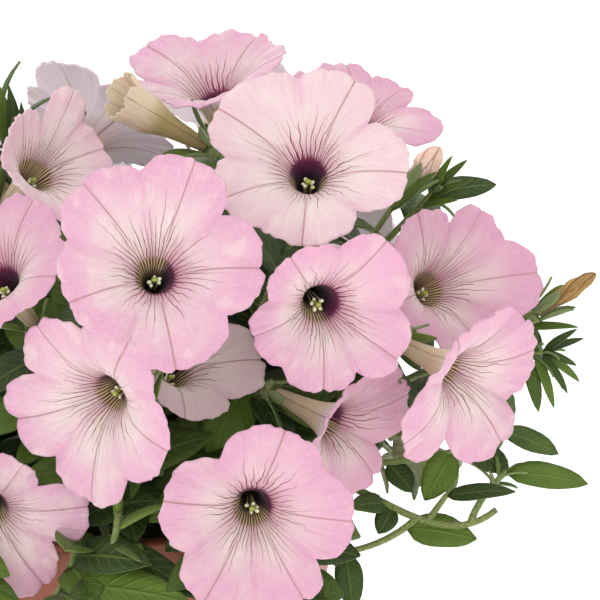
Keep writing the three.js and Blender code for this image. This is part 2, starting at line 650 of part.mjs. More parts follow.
// The end of a stem: where it stops and the way it points there.
function tipOf(name) {
  if (BLOOMS[name]) {
    const axis = facing(BLOOMS[name].yaw, BLOOMS[name].pitch);
    const end = offset(vector(BLOOMS[name].at), axis, -TUBE_LENGTH - SEAT_GAP - CALYX_SEAT);
    return { end, axis, mark: flowerMark(name) };
  }
  const { at, yaw, pitch, from, low, near } = BUDS[name] || SPRAYS[name];
  const end = vector(at);
  const axis = low ? end.clone().sub(vector(near)).normalize() : facing(yaw, pitch);
  return { end, axis, mark: flowerMark(name), from, low, near };
}

// A cubic curve with a bow aside that fades out at both ends, so that it keeps their headings.
class StemCurve extends THREE.Curve {
  constructor(start, low, near, end, bow) {
    super();
    this.cubic = new THREE.CubicBezierCurve3(start, low, near, end);
    this.bow = bow;
  }

  getPoint(share, target = new THREE.Vector3()) {
    const fade = 16 * share * share * (1 - share) * (1 - share);
    return this.cubic.getPoint(share, target).addScaledVector(this.bow, fade);
  }
}

function curvePoints(curve, step = 4) {
  return curve.getPoints(Math.ceil(curve.getLength() / step));
}

// A curve from a start to a tip that meets the tip along its axis. It bows aside by as little
// as it takes to pass the blooms and the other stems, unless its shape is given.
function route(start, heading, tip, owner) {
  if (tip.low) {
    return new StemCurve(start, vector(tip.low), vector(tip.near), tip.end, new THREE.Vector3());
  }
  const span = start.distanceTo(tip.end);
  const { across, over } = square(tip.end.clone().sub(start).normalize());
  let best = null;
  for (const aside of [0, 10, 20, 30, 40]) {
    for (const [lift, reach] of CURVE_SHAPES) {
      for (let turn = 0; turn < (aside === 0 ? 1 : 8); turn += 1) {
        const angle = turn / 8 * 2 * Math.PI;
        const bow = across.clone().multiplyScalar(Math.cos(angle) * aside)
          .addScaledVector(over, Math.sin(angle) * aside);
        const curve = new StemCurve(start, offset(start, heading, lift * span),
          offset(tip.end, tip.axis, -reach * span), tip.end, bow);
        const points = curvePoints(curve).slice(2);
        const hits = flowerRoom.hits(points, tip.mark) + greenRoom.hits(points, owner);
        if (best === null || hits < best.hits) best = { curve, hits };
        if (hits === 0) return curve;
      }
    }
  }
  return best.curve;
}

// The straight foot of a stem in the soil, and then its curve.
function withFoot(curve, depth) {
  const path = new THREE.CurvePath();
  const top = curve.getPoint(0);
  path.add(new THREE.LineCurve3(offset(top, UP, -depth), top));
  path.add(curve);
  return path;
}

function tube(path, radius, steps) {
  const corners = [];
  for (let side = 0; side < STEM_SIDES; side += 1) {
    const angle = side / STEM_SIDES * 2 * Math.PI;
    corners.push(new THREE.Vector2(Math.cos(angle) * radius, Math.sin(angle) * radius));
  }
  const section = new THREE.Shape(corners);
  return new THREE.ExtrudeGeometry(section, { steps, extrudePath: path, bevelEnabled: false });
}

// The seat of a calyx lies a little past the end of its stem, which stays inside the cup.
function calyxFrame(tip) {
  return { at: offset(tip.end, tip.axis, CALYX_SEAT), axis: tip.axis, ...square(tip.axis) };
}

// The calyx: a green cup at the end of a stem with five long sepals, clear of the bloom's tube.
function calyx(tip) {
  const frame = calyxFrame(tip);
  const points = [];
  const triangles = [];
  const corner = (step, radius, height) => {
    const angle = step / (2 * LOBES) * 2 * Math.PI;
    return points.push(aroundAxis(frame, angle, radius, height)) - 1;
  };
  const foot = [];
  const floor = corner(0, 0, 0);
  const outer = [];
  const inner = [];
  const tips = [];
  for (let step = 0; step < 2 * LOBES; step += 1) {
    if (step % 2 === 0) foot.push(corner(step, CALYX_FOOT, -CALYX_LENGTH));
    outer.push(corner(step, CALYX_RADIUS + 0.7, -0.5));
    inner.push(corner(step, CALYX_RADIUS, 0));
  }
  const reach = CALYX_RADIUS + SEPAL_LENGTH * Math.sin(SEPAL_FLARE);
  for (let lobe = 0; lobe < LOBES; lobe += 1) {
    tips.push(corner(2 * lobe + 0.5, reach, SEPAL_LENGTH * Math.cos(SEPAL_FLARE)));
  }
  for (let step = 0; step < 2 * LOBES; step += 1) {
    const after = (step + 1) % (2 * LOBES);
    triangles.push([foot[(step + step % 2) / 2 % LOBES], outer[after], outer[step]]);
    triangles.push([floor, inner[step], inner[after]]);
    if (step % 2 === 0) {
      const tipPoint = tips[step / 2];
      triangles.push([foot[step / 2], foot[(step / 2 + 1) % LOBES], outer[after]]);
      triangles.push([outer[step], outer[after], tipPoint]);
      triangles.push([outer[after], inner[after], tipPoint]);
      triangles.push([inner[after], inner[step], tipPoint]);
      triangles.push([inner[step], outer[step], tipPoint]);
    } else {
      triangles.push([outer[step], outer[after], inner[after]]);
      triangles.push([outer[step], inner[after], inner[step]]);
    }
  }
  for (let lobe = 1; lobe < LOBES - 1; lobe += 1) {
    triangles.push([foot[0], foot[lobe + 1], foot[lobe]]);
  }
  return closedMesh(points, triangles);
}

// Points along the sepals, to keep leaves off them.
function calyxPoints(tip) {
  const frame = calyxFrame(tip);
  const points = [];
  for (let step = 0; step < 2 * LOBES; step += 1) {
    for (let along = 0; along <= SEPAL_LENGTH; along += 3) {
      const angle = (step + 0.5) / (2 * LOBES) * 2 * Math.PI;
      points.push(aroundAxis(frame, angle, CALYX_RADIUS + along * Math.sin(SEPAL_FLARE),
        along * Math.cos(SEPAL_FLARE)));
    }
  }
  return points;
}

// A leaf that leaves a stem at a share of its length, turned round it by an angle. Its upper
// face looks outwards and up.
function leafAt(curve, share, angle, spread, length, width, arch) {
  const centre = curve.getPoint(share);
  const tangent = curve.getTangent(share);
  const { across, over } = square(tangent);
  const out = across.clone().multiplyScalar(Math.cos(angle)).addScaledVector(over,
    Math.sin(angle));
  const along = tangent.clone().multiplyScalar(Math.cos(spread)).addScaledVector(out,
    Math.sin(spread)).normalize();
  const root = offset(centre, along, ROOT_OUT * STEM_RADIUS);
  const light = new THREE.Vector3(root.x, root.y, 0).normalize().multiplyScalar(0.6)
    .addScaledVector(UP, 0.8);
  const face = light.addScaledVector(along, -light.dot(along)).normalize();
  return { root, along, face, length, width, arch, cup: LEAF_CUP };
}

// A leaf from a share of a stem to a given place.
function leafTo(curve, share, place, width) {
  const centre = curve.getPoint(share);
  const chord = vector(place).sub(centre);
  const reach = chord.length();
  chord.normalize();
  const hint = vector(LEAVES_FACE);
  const normal = hint.addScaledVector(chord, -hint.dot(chord)).normalize();
  const half = LEAVES_ARCH / 2;
  const along = chord.clone().multiplyScalar(Math.cos(half)).addScaledVector(normal,
    Math.sin(half));
  const face = normal.clone().multiplyScalar(Math.cos(half)).addScaledVector(chord,
    -Math.sin(half));
  const root = offset(centre, along, ROOT_OUT * STEM_RADIUS);
  const length = reach * half / Math.sin(half);
  const stations = [0.25, 0.55, 0.82];
  return { root, along, face, length, width, arch: LEAVES_ARCH, cup: LEAF_CUP, stations };
}

function leafFits(leaf, owner) {
  const points = bladePoints(leaf, 0.16);
  const outer = bladePoints(leaf, 0.4);
  return flowerRoom.hits(points, 0) + viewRoom.hits(points, 0) + greenRoom.hits(points, owner)
    + bladeRoom.hits(outer, 0) === 0;
}

function keepLeaf(leaf, owner) {
  greenRoom.mark(bladePoints(leaf, 0), owner);
  bladeRoom.mark(bladePoints(leaf, 0.4), owner);
}

// The leaves of a stem: one every few centimetres, each a golden turn from the last. A leaf
// that finds no room is turned or made smaller, and is left out where that is of no use.
function leavesAlong(curve, owner, seed, from, spacing) {
  const length = curve.getLength();
  const list = [];
  const turns = [0, 40, -40, 80, -80, 120, -120, 180];
  for (let place = from; place < length - 12; place += spacing) {
    const number = seed * 64 + Math.round(place);
    const share = place / length;
    const base = GOLDEN_TURN * (place / spacing) + 360 * draw(seed);
    const size = (1.12 - 0.34 * share) * (0.88 + 0.24 * draw(number));
    const spread = radians(52 + 26 * draw(number + 1));
    const arch = 0.5 + 0.7 * draw(number + 2);
    let placed = null;
    for (const shrink of [1, 0.8, 0.62]) {
      for (const turn of turns) {
        if (placed === null) {
          const leaf = leafAt(curve, share, radians(base + turn), spread,
            LEAF_LENGTH * size * shrink, LEAF_WIDTH * size * shrink, arch);
          if (leafFits(leaf, owner)) placed = leaf;
        }
      }
    }
    if (placed !== null) {
      placed.stations = [0.25, 0.55, 0.82];
      keepLeaf(placed, owner);
      list.push(placed);
    }
  }
  return list;
}

// Narrow young leaves crowded round the end of a shoot.
function youngLeaves(curve, owner, seed, count, scale) {
  const length = curve.getLength();
  const list = [];
  for (let place = 0; place < count; place += 1) {
    const number = seed * 64 + place;
    const share = 1 - 2.2 * (count - 1 - place) / length - 0.5 / length;
    const angle = radians(GOLDEN_TURN * place);
    const spread = radians(62 - 44 * place / count);
    const size = scale * (0.8 + 0.4 * draw(number));
    const leaf = leafAt(curve, share, angle, spread, YOUNG_LENGTH * size, YOUNG_WIDTH * size,
      0.5 + 0.5 * draw(number + 1));
    leaf.stations = [0.45];
    const points = bladePoints(leaf, 0.2);
    if (flowerRoom.hits(points, 0) + greenRoom.hits(points, owner) === 0) {
      greenRoom.mark(points, owner);
      list.push(leaf);
    }
  }
  return list;
}

// ---- pot and soil ---------------------------------------------------------------------------

function potRadius(height) {
  return POT_BASE_RADIUS + (POT_MOUTH_RADIUS - POT_BASE_RADIUS) * height / POT_HEIGHT;
}

function pot() {
  const under = POT_HEIGHT - POT_LIP_HEIGHT;
  const outline = [
    [0, 0],
    [POT_BASE_RADIUS - 3, 0],
    [POT_BASE_RADIUS, 3],
    [potRadius(under), under],
    [potRadius(under) + POT_LIP_OUT, under],
    [POT_MOUTH_RADIUS + POT_LIP_OUT, POT_HEIGHT - 1.2],
    [POT_MOUTH_RADIUS + POT_LIP_OUT - 1.2, POT_HEIGHT],
    [POT_MOUTH_RADIUS - POT_WALL, POT_HEIGHT],
    [potRadius(POT_WALL) - POT_WALL, POT_WALL],
    [0, POT_WALL],
  ];
  const body = new THREE.LatheGeometry(outline.map(([x, y]) => new THREE.Vector2(x, y)),
    POT_SIDES);
  body.rotateX(Math.PI / 2);
  let solid = toSolid(body);
  for (let count = 0; count < DRAIN_COUNT; count += 1) {
    const angle = count / DRAIN_COUNT * 2 * Math.PI;
    const drain = new THREE.CylinderGeometry(DRAIN_RADIUS, DRAIN_RADIUS, 3 * POT_WALL, 10);
    drain.rotateX(Math.PI / 2);
    drain.translate(Math.cos(angle) * DRAIN_RING, Math.sin(angle) * DRAIN_RING, POT_WALL / 2);
    solid = solid.subtract(toSolid(drain));
  }
  return toGeometry(solid);
}

// The soil fills the pot, with a plain hole for each stem.
function soil(stems) {
  const inner = (height) => potRadius(height) - POT_WALL - SEAT_GAP;
  const bottom = POT_WALL + SEAT_GAP;
  const outline = [[0, bottom], [inner(bottom), bottom], [inner(SOIL_TOP), SOIL_TOP - 1],
    [inner(SOIL_TOP) * 0.5, SOIL_TOP], [0, SOIL_TOP]];
  const body = new THREE.LatheGeometry(outline.map(([x, y]) => new THREE.Vector2(x, y)),
    POT_SIDES);
  body.rotateX(Math.PI / 2);
  let solid = toSolid(body);
  for (const stem of stems) {
    const path = withFoot(stem.curves[0], STEM_SINK + HOLE_CLEARANCE);
    const hole = tube(path, STEM_RADIUS + HOLE_CLEARANCE, STEM_STEPS);
    solid = solid.subtract(toSolid(hole));
  }
  return toGeometry(solid);
}

// ---- the plant ------------------------------------------------------------------------------

const materials = {
  terracotta: new THREE.MeshStandardMaterial({ color: 0x9b5540, roughness: 0.6, metalness: 0 }),
  soil: new THREE.MeshStandardMaterial({ color: 0x2b1d14, roughness: 1, metalness: 0 }),
  petal: new THREE.MeshStandardMaterial({ color: 0xe3b8cf, roughness: 0.7, metalness: 0 }),
  faded: new THREE.MeshStandardMaterial({ color: 0xcdb89a, roughness: 0.8, metalness: 0 }),
  leaf: new THREE.MeshStandardMaterial({ color: 0x53661c, roughness: 0.6, metalness: 0 }),
  tan: new THREE.MeshStandardMaterial({ color: 0xa5814f, roughness: 0.8, metalness: 0 }),
  peach: new THREE.MeshStandardMaterial({ color: 0xe2bfa6, roughness: 0.7, metalness: 0 }),
};

const plant = new THREE.Group();

function add(name, geometry, material) {
  const mesh = new THREE.Mesh(geometry, material.clone());
  mesh.name = name;
  plant.add(mesh);
}

const stemNames = Object.keys(STEMS);

markPot();
for (const [name, bloom] of Object.entries(BLOOMS)) {
  markBloom(bloom, flowerMark(name));
}
for (const [name, spec] of Object.entries(BUDS)) {
  markBud(spec, flowerMark(name));
}

// All stems are laid first, then their sepals, then the leaves one stem after the other.
const grown = stemNames.map((name, index) => {
  const owner = index + 1;
  const [x, y] = STEMS[name].hole;
  const foot = new THREE.Vector3(x, y, SOIL_TOP);
  const tips = STEMS[name].tips.map(tipOf);
  const main = route(foot, UP, tips[0], owner);
  const curves = [main];
  tips.slice(1).forEach((tip, branch) => {
    const share = tip.from || BRANCH_SHARE - 0.16 * branch;
    const start = main.getPoint(share);
    const heading = tip.end.clone().sub(start).normalize()
      .addScaledVector(main.getTangent(share), 0.6).normalize();
    curves.push(route(start, heading, tip, owner));
  });
  curves.forEach((curve) => greenRoom.mark(curvePoints(curve), owner));
  return { name, owner, tips, curves, leaves: [] };
});

for (const stem of grown) {
  stem.tips.forEach((tip, index) => {
    if (!SPRAYS[STEMS[stem.name].tips[index]]) greenRoom.mark(calyxPoints(tip), stem.owner);
  });
}
for (const stem of grown) {
  stem.curves.forEach((curve, index) => {
    for (const [share, place, width] of LEAVES[STEMS[stem.name].tips[index]] || []) {
      const leaf = leafTo(curve, share, place, width);
      keepLeaf(leaf, stem.owner);
      stem.leaves.push(leaf);
    }
  });
}
for (const stem of grown) {
  stem.curves.forEach((curve, index) => {
    const { young, size = 1 } = SPRAYS[STEMS[stem.name].tips[index]] || { young: 0 };
    const seed = stem.owner * 4 + index;
    stem.leaves.push(...youngLeaves(curve, stem.owner, seed, young, size));
  });
}
for (const stem of grown) {
  stem.curves.forEach((curve, index) => {
    const seed = stem.owner * 4 + index;
    const spacing = SPRAYS[STEMS[stem.name].tips[index]] ? SPRAY_SPACING : LEAF_SPACING;
    const from = index === 0 ? 16 : 10;
    if (!stem.tips[index].low) {
      stem.leaves.push(...leavesAlong(curve, stem.owner, seed, from, spacing));
    }
  });
}

add('pot', pot(), materials.terracotta);
add('soil', soil(grown), materials.soil);
for (const [name, bloom] of Object.entries(BLOOMS)) {
  add(name, corolla(bloom), bloom.faded ? materials.faded : materials.petal);
}
for (const [name, spec] of Object.entries(BUDS)) {
  add(name, bud(spec), name === 'bud_tan' ? materials.tan : materials.peach);
}
for (const stem of grown) {
  const [main, ...branches] = stem.curves;
  const foot = withFoot(main, STEM_SINK);
  const pieces = [tube(foot, STEM_RADIUS, STEM_STEPS)];
  const lines = [middleLine(foot, STEM_STEPS)];
  for (const branch of branches) {
    pieces.push(tube(branch, BRANCH_RADIUS, BRANCH_STEPS));
    lines.push(middleLine(branch, BRANCH_STEPS));
  }
  stem.tips.forEach((tip, index) => {
    if (!SPRAYS[STEMS[stem.name].tips[index]]) pieces.push(calyx(tip));
  });
  stem.leaves.forEach((leaf) => pieces.push(blade(leaf, leaf.stations, lines)));
  add(stem.name, fuse(pieces), materials.leaf);
}

export default plant;
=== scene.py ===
"""A potted trailing petunia: pale pink trumpet blooms, leafy hairy stems, soil and a plain pot.

The plant is laid out in millimetres by the same rules as the solids, and each piece is turned
into metres when its mesh is made. -Y is the side with the most blooms.
"""
import math
from itertools import product

import bpy
import numpy as np
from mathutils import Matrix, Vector, noise


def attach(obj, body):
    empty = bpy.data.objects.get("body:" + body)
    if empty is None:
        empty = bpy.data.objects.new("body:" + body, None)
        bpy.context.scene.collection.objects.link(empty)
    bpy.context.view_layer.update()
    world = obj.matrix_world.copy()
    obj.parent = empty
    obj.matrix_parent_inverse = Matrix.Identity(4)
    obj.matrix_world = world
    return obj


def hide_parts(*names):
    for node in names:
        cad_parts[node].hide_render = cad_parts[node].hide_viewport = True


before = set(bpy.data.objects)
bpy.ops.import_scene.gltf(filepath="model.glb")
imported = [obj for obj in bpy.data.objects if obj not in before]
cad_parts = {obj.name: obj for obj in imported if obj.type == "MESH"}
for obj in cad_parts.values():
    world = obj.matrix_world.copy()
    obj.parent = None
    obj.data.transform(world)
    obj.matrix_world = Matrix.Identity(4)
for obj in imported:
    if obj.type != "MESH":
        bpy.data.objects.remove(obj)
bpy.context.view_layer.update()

MM = 0.001

# ---- sizes of the plant, in millimetres ------------------------------------------------------

POT_HEIGHT = 135
POT_MOUTH_RADIUS = 95
POT_BASE_RADIUS = 68
POT_WALL = 2.6
POT_LIP_HEIGHT = 14
POT_LIP_OUT = 4
DRAIN_RADIUS = 3
DRAIN_COUNT = 5
DRAIN_RING = 44
SOIL_TOP = 119
SEAT_GAP = 0.3

STEM_RADIUS = 1.6
BRANCH_RADIUS = 1.4
STEM_SINK = 15
CALYX_RADIUS = 3.2
CALYX_SEAT = 2
SEPAL_LENGTH = 17
SEPAL_FLARE = 0.36

TUBE_LENGTH = 28
THROAT_RADIUS = 7
NECK_RADIUS = 2.4
PETAL_LENGTH = 34
PETAL_THICKNESS = 0.5
FUNNEL_ANGLE = 62
OPEN_ANGLE = 8
NOTCH_REACH = 0.8
LOBE_FOLD = 1.6
LOBES = 5
STRAY = dict(veins=14, gaps=12, lobe=0.14, notch=0.14, lean=18)
LIMB_STEPS = 12
CURL_POWER = 1.6
VIEW_LIFTS = (7, 14, 21)

LEAF_LENGTH = 44
LEAF_WIDTH = 22
LEAF_CUP = 0.14
LEAF_THICKNESS = 0.55
ROOT_OUT = 0.3
LEAF_SPACING = 36
SPRAY_SPACING = 22
YOUNG_LENGTH = 24
YOUNG_WIDTH = 4.4
GOLDEN_TURN = 137.5
LEAF_BELLY = 0.8
STALK_SHARE = 0.16
BLADE_START = 0.4
LEAF_SHRINKS = (1, 0.8, 0.62)
LEAF_TURNS = (0, 40, -40, 80, -80, 120, -120, 180)
LIGHT_OUTWARDS = 0.6
LIGHT_UP = 0.8
FIRST_ON_STEM = 16
FIRST_ON_BRANCH = 10
TIP_CLEARANCE = 12
YOUNG_SPACING = 2.2
CURVE_SHAPES = [(0.35, 0.3), (0.35, 0.2), (0.2, 0.3), (0.5, 0.3), (0.35, 0.45), (0.5, 0.15)]
ROUTE_BOWS = (0, 10, 20, 30, 40)
ROUTE_TURNS = 8
BRANCH_SHARE = 0.62
BRANCH_STEP = 0.16
BRANCH_HEADING = 0.6

BLOOMS = {
    "bloom_01": dict(at=(43, -18, 290), yaw=-34, pitch=66, petal=34, open=14,
                     veins=(78, 164, 235, 300, 380), gaps=(130, 201, 268, 340, 408),
                     lobe=(0.8, 1.06, 0.9, 0.85, 0.92), notch=(0.66, 0.6, 0.75, 0.75, 0.76)),
    "bloom_02": dict(at=(79, -100, 274), yaw=2, pitch=34, veins=(62, 148, 205, 264, 352),
                     gaps=(96, 176, 235, 312, 397), lobe=(1.04, 1.1, 1, 0.92, 1),
                     notch=(0.9, 0.8, 0.84, 0.62, 0.68)),
    "bloom_03": dict(at=(25, -142, 246), yaw=6, pitch=27, petal=35,
                     veins=(68, 130, 204, 278, 357), gaps=(98, 163, 246, 322, 397),
                     lobe=(1.1, 1.08, 0.96, 1.06, 1.02), notch=(0.93, 0.86, 0.66, 0.78, 0.77)),
    "bloom_04": dict(at=(9, -136, 202), yaw=-34, pitch=-13,
                     veins=(52, 122, 196, 262, 337), gaps=(92, 160, 227, 290, 380),
                     lobe=(1.08, 0.96, 1.1, 1.08, 0.92), notch=(0.74, 0.66, 0.84, 0.76, 0.82)),
    "bloom_05": dict(at=(83, -128, 233), yaw=14, pitch=-4, petal=26.5,
                     veins=(51, 124, 198, 270, 324), gaps=(80, 168, 233, 296, 360),
                     lobe=(1.16, 0.92, 0.92, 1.02, 1.14), notch=(0.72, 0.64, 0.82, 0.84, 0.86),
                     lean=(0, 14, -8, -10, 0)),
    "bloom_06": dict(at=(59, -140, 161), yaw=4, pitch=2, petal=33,
                     veins=(70, 168, 240, 300, 357), gaps=(121, 208, 270, 324, 391),
                     lobe=(0.93, 0.98, 1.04, 1.04, 1.04), notch=(0.58, 0.74, 0.86, 0.74, 0.82)),
    "bloom_07": dict(at=(28, -78, 196), yaw=40, pitch=44, petal=29,
                     veins=(55, 115, 170, 241, 343), gaps=(85, 142, 203, 294, 382),
                     lobe=(1, 1, 0.8, 0.94, 1.05), notch=(0.8, 0.8, 0.45, 0.64, 0.8)),
    "bloom_08": dict(at=(125, -46, 221), yaw=38, pitch=22,
                     veins=(47, 104, 190, 290, 356), gaps=(68, 150, 240, 322, 382),
                     lobe=(0.98, 0.78, 0.7, 0.8, 1.2), notch=(0.6, 0.62, 0.6, 0.7, 0.9)),
    "bloom_09": dict(at=(131, -98, 202), yaw=52, pitch=-16, petal=33,
                     veins=(60, 135, 215, 310, 373), gaps=(95, 175, 262, 333, 407),
                     lobe=(0.84, 0.9, 1.04, 1.12, 0.98), notch=(0.75, 0.7, 0.6, 0.78, 0.82),
                     lean=(0, 7, -25, 0, 0)),
    "bloom_10": dict(at=(87, -98, 182), yaw=50, pitch=-14, petal=28,
                     veins=(77, 150, 222, 312, 380), gaps=(110, 188, 263, 333, 405),
                     lobe=(1.02, 0.95, 0.95, 0.96, 1.02), notch=(0.8, 0.8, 0.6, 0.6, 0.8),
                     lean=(10, 20, -15, 0, 0)),
    "bloom_11": dict(at=(99, 0, 277), yaw=35, pitch=63, petal=28,
                     veins=(19, 73, 150, 220, 301), gaps=(50, 111, 185, 262, 358),
                     lobe=(0.86, 0.92, 1, 1, 1.05), notch=(0.66, 0.76, 0.8, 0.8, 0.56)),
    "bloom_12": dict(at=(-22, -78, 271), yaw=44, pitch=38, petal=26,
                     veins=(49, 112, 185, 270, 363), gaps=(72, 150, 230, 318, 390),
                     lobe=(1.2, 0.8, 0.8, 0.9, 0.95), notch=(0.5, 0.7, 0.8, 0.8, 0.85),
                     lean=(6, 42, 20, 0, 0)),
    "bloom_13": dict(at=(-11, 18, 268), yaw=150, pitch=40, turn=84, petal=30),
    "bloom_14": dict(at=(19, -50, 289), yaw=-62, pitch=30, turn=84, petal=16, funnel=92,
                     open=76, faded=True),
    "bloom_15": dict(at=(-31, -119, 238), yaw=-28, pitch=42, petal=28,
                     veins=(76, 148, 220, 285, 353), gaps=(106, 184, 252, 320, 388),
                     lobe=(1.02, 1, 0.95, 0.95, 1.18), notch=(0.7, 0.8, 0.8, 0.8, 0.96)),
    "bloom_16": dict(at=(-39, -104, 150), yaw=2, pitch=-4, petal=33,
                     veins=(57, 128, 210, 308, 369), gaps=(92, 170, 262, 338, 394),
                     lobe=(0.7, 1, 1, 0.92, 1.1), notch=(0.7, 0.8, 0.8, 0.62, 0.56)),
    "bloom_17": dict(at=(-53, -40, 267), yaw=-50, pitch=30, turn=84, petal=28),
    "bloom_18": dict(at=(-108, -92, 190), yaw=-52, pitch=4, turn=30),
    "bloom_19": dict(at=(-112, -40, 240), yaw=-72, pitch=30, turn=60, petal=33),
    "bloom_20": dict(at=(-150, -10, 180), yaw=-95, pitch=0, turn=84),
    "bloom_21": dict(at=(-118, 48, 236), yaw=-118, pitch=28, turn=20, petal=33),
    "bloom_22": dict(at=(-96, 112, 176), yaw=-140, pitch=-2, turn=50),
    "bloom_23": dict(at=(-78, 62, 284), yaw=-145, pitch=45, turn=66, petal=33),
    "bloom_24": dict(at=(-30, 128, 228), yaw=-168, pitch=24, turn=30),
    "bloom_25": dict(at=(8, 146, 166), yaw=176, pitch=0, turn=84, petal=33),
    "bloom_26": dict(at=(42, 112, 262), yaw=158, pitch=44, turn=70),
    "bloom_27": dict(at=(88, 116, 196), yaw=142, pitch=8, turn=40),
    "bloom_28": dict(at=(86, 52, 246), yaw=110, pitch=15, turn=60, petal=33),
    "bloom_29": dict(at=(140, 30, 190), yaw=98, pitch=2, turn=84, petal=33),
}

STEMS = {
    "stem_01": ((36, -34), ["bloom_02"]),
    "stem_02": ((10, -44), ["bloom_03", "bloom_07"]),
    "stem_03": ((18, -62), ["bloom_04"]),
    "stem_04": ((46, -50), ["bloom_05", "bloom_10", "rim_1"]),
    "stem_05": ((36, -66), ["bloom_06", "rim_2"]),
    "stem_06": ((62, -16), ["bloom_08", "bloom_09"]),
    "stem_07": ((44, 6), ["bloom_11"]),
    "stem_08": ((22, -10), ["bloom_01", "bloom_14", "bloom_13"]),
    "stem_09": ((-18, -20), ["bloom_12", "bloom_17"]),
    "stem_10": ((-8, -54), ["bloom_15", "rim_3"]),
    "stem_11": ((-32, -60), ["bloom_16", "rim_4"]),
    "stem_12": ((-52, -38), ["bloom_18", "bloom_19", "rim_5"]),
    "stem_13": ((-68, -4), ["bloom_20", "bloom_21", "rim_6"]),
    "stem_14": ((-46, 52), ["bloom_22", "rim_7"]),
    "stem_15": ((-20, 34), ["bloom_24", "bloom_23"]),
    "stem_16": ((2, 66), ["bloom_25", "rim_8"]),
    "stem_17": ((34, 48), ["bloom_27", "bloom_26", "rim_9"]),
    "stem_18": ((62, 24), ["bloom_29", "bloom_28", "rim_10"]),
    "shoot_trailing": ((62, -38), ["trail", "trail_low", "trail_stub", "trail_node", "corner"]),
    "shoot_right": ((74, 4), ["bud_tan", "spray_right"]),
    "shoot_top": ((42, -14), ["spray_top", "bud_peach"]),
    "shoot_front": ((2, -72), ["spray_front"]),
    "shoot_left": ((-34, 8), ["spray_left"]),
    "shoot_east": ((54, 44), ["spray_east"]),
    "shoot_back": ((-22, 60), ["spray_back"]),
    "shoot_west": ((-62, 26), ["spray_west"]),
}

BUDS = {
    "bud_tan": dict(at=(166, -28, 206), yaw=82, pitch=36, length=29, radius=3.6),
    "bud_peach": dict(at=(114, -30, 253), yaw=88, pitch=52, length=24, radius=5.4),
}
SPRAYS = {
    "trail": dict(at=(151, -70, 140), young=0, low=(80, -55, 185), near=(118, -80, 115)),
    "trail_low": dict(at=(89, -80, 126), young=0, start=0.7, low=(114, -73, 131),
                      near=(102, -72, 124)),
    "trail_stub": dict(at=(132, -70, 146), young=0, start=0.74, low=(127, -70, 139),
                       near=(130, -70, 143)),
    "trail_node": dict(at=(155, -66, 154), young=6, size=0.5, start=0.9, low=(143, -69, 142),
                       near=(150, -67, 150)),
    "corner": dict(at=(155, -64, 171), young=2, size=0.5, start=0.25, low=(95, -56, 158),
                   near=(130, -60, 152)),
    "spray_right": dict(at=(170, -45, 196), yaw=70, pitch=10, young=10, size=0.5),
    "spray_top": dict(at=(130, -30, 259), yaw=70, pitch=50, young=7, size=0.62),
    "spray_front": dict(at=(10, -122, 154), young=8, size=0.8, low=(2, -80, 175),
                        near=(4, -125, 110)),
    "spray_left": dict(at=(-44, -14, 282), yaw=-70, pitch=60, young=9),
    "spray_east": dict(at=(118, 84, 120), yaw=122, pitch=-40, young=2),
    "spray_back": dict(at=(-50, 134, 114), yaw=-158, pitch=-40, young=2),
    "spray_west": dict(at=(-138, 40, 114), yaw=-100, pitch=-40, young=2),
}
# Short shoots that hang over the rim: tip, yaw, pitch, and the share of the stem they grow from.
RIM_SHOOTS = [
    ((70, -110, 114), 10, -60, 0.3), ((42, -126, 110), 10, -60, 0.35),
    ((-20, -130, 112), -10, -55, 0.3), ((-74, -118, 108), -34, -50, 0.4),
    ((-114, -84, 108), -54, -50, 0.3), ((-140, -30, 112), -78, -50, 0.3),
    ((-102, 98, 110), -134, -50, 0.4), ((6, 138, 108), 178, -50, 0.4),
    ((68, 126, 112), 150, -50, 0.3), ((140, 20, 136), 96, -30, 0.3),
]
for number, (at, yaw, pitch, start) in enumerate(RIM_SHOOTS, 1):
    SPRAYS[f"rim_{number}"] = dict(at=at, yaw=yaw, pitch=pitch, young=2, start=start)

# Leaves with places of their own, by the tip that their stem ends in: the share of that stem
# where each one grows, the place of its own tip, and its width.
LEAVES = {
    "trail": [(0.58, (95, -80, 144), 9), (0.61, (106, -74, 132), 9)],
    "trail_low": [(0.2, (143, -72, 129), 14), (0.9, (96, -84, 105), 11)],
    "trail_stub": [(0.92, (157, -80, 150), 7)],
    "trail_node": [(0.96, (186, -62, 148), 11)],
    "corner": [(0.97, (175, -58, 159), 9.5), (0.75, (124, -66, 143), 13),
               (0.8, (156, -60, 153), 12), (0.45, (119, -62, 145), 10)],
    "spray_top": [(0.96, (152, -20, 257), 10), (0.97, (134, -42, 272), 3.2),
                  (0.98, (140, -34, 269), 3.4), (0.94, (142, -37, 262), 3),
                  (0.9, (133, -37, 244), 4), (0.84, (131, -42, 245), 3.4),
                  (0.92, (136, -37, 254), 3.4), (0.78, (117, -50, 229), 8)],
    "bud_peach": [(0.86, (128, -38, 265), 4.4)],
    "bud_tan": [(0.93, (184, -32, 203), 3.6)],
    "spray_right": [(0.99, (182, -50, 206), 3.2), (0.98, (185, -44, 201), 3.2),
                    (0.95, (166, -52, 207), 3.6), (0.98, (179, -49, 181), 3.4),
                    (0.99, (184, -43, 184), 3.6), (0.93, (174, -48, 175), 4),
                    (0.99, (182, -50, 192), 3.4), (0.86, (168, -50, 174), 6)],
    "spray_front": [(0.64, (41, -133, 124), 12), (0.68, (20, -124, 121), 8)],
    "rim_3": [(0.62, (26, -131, 121), 15)],
}
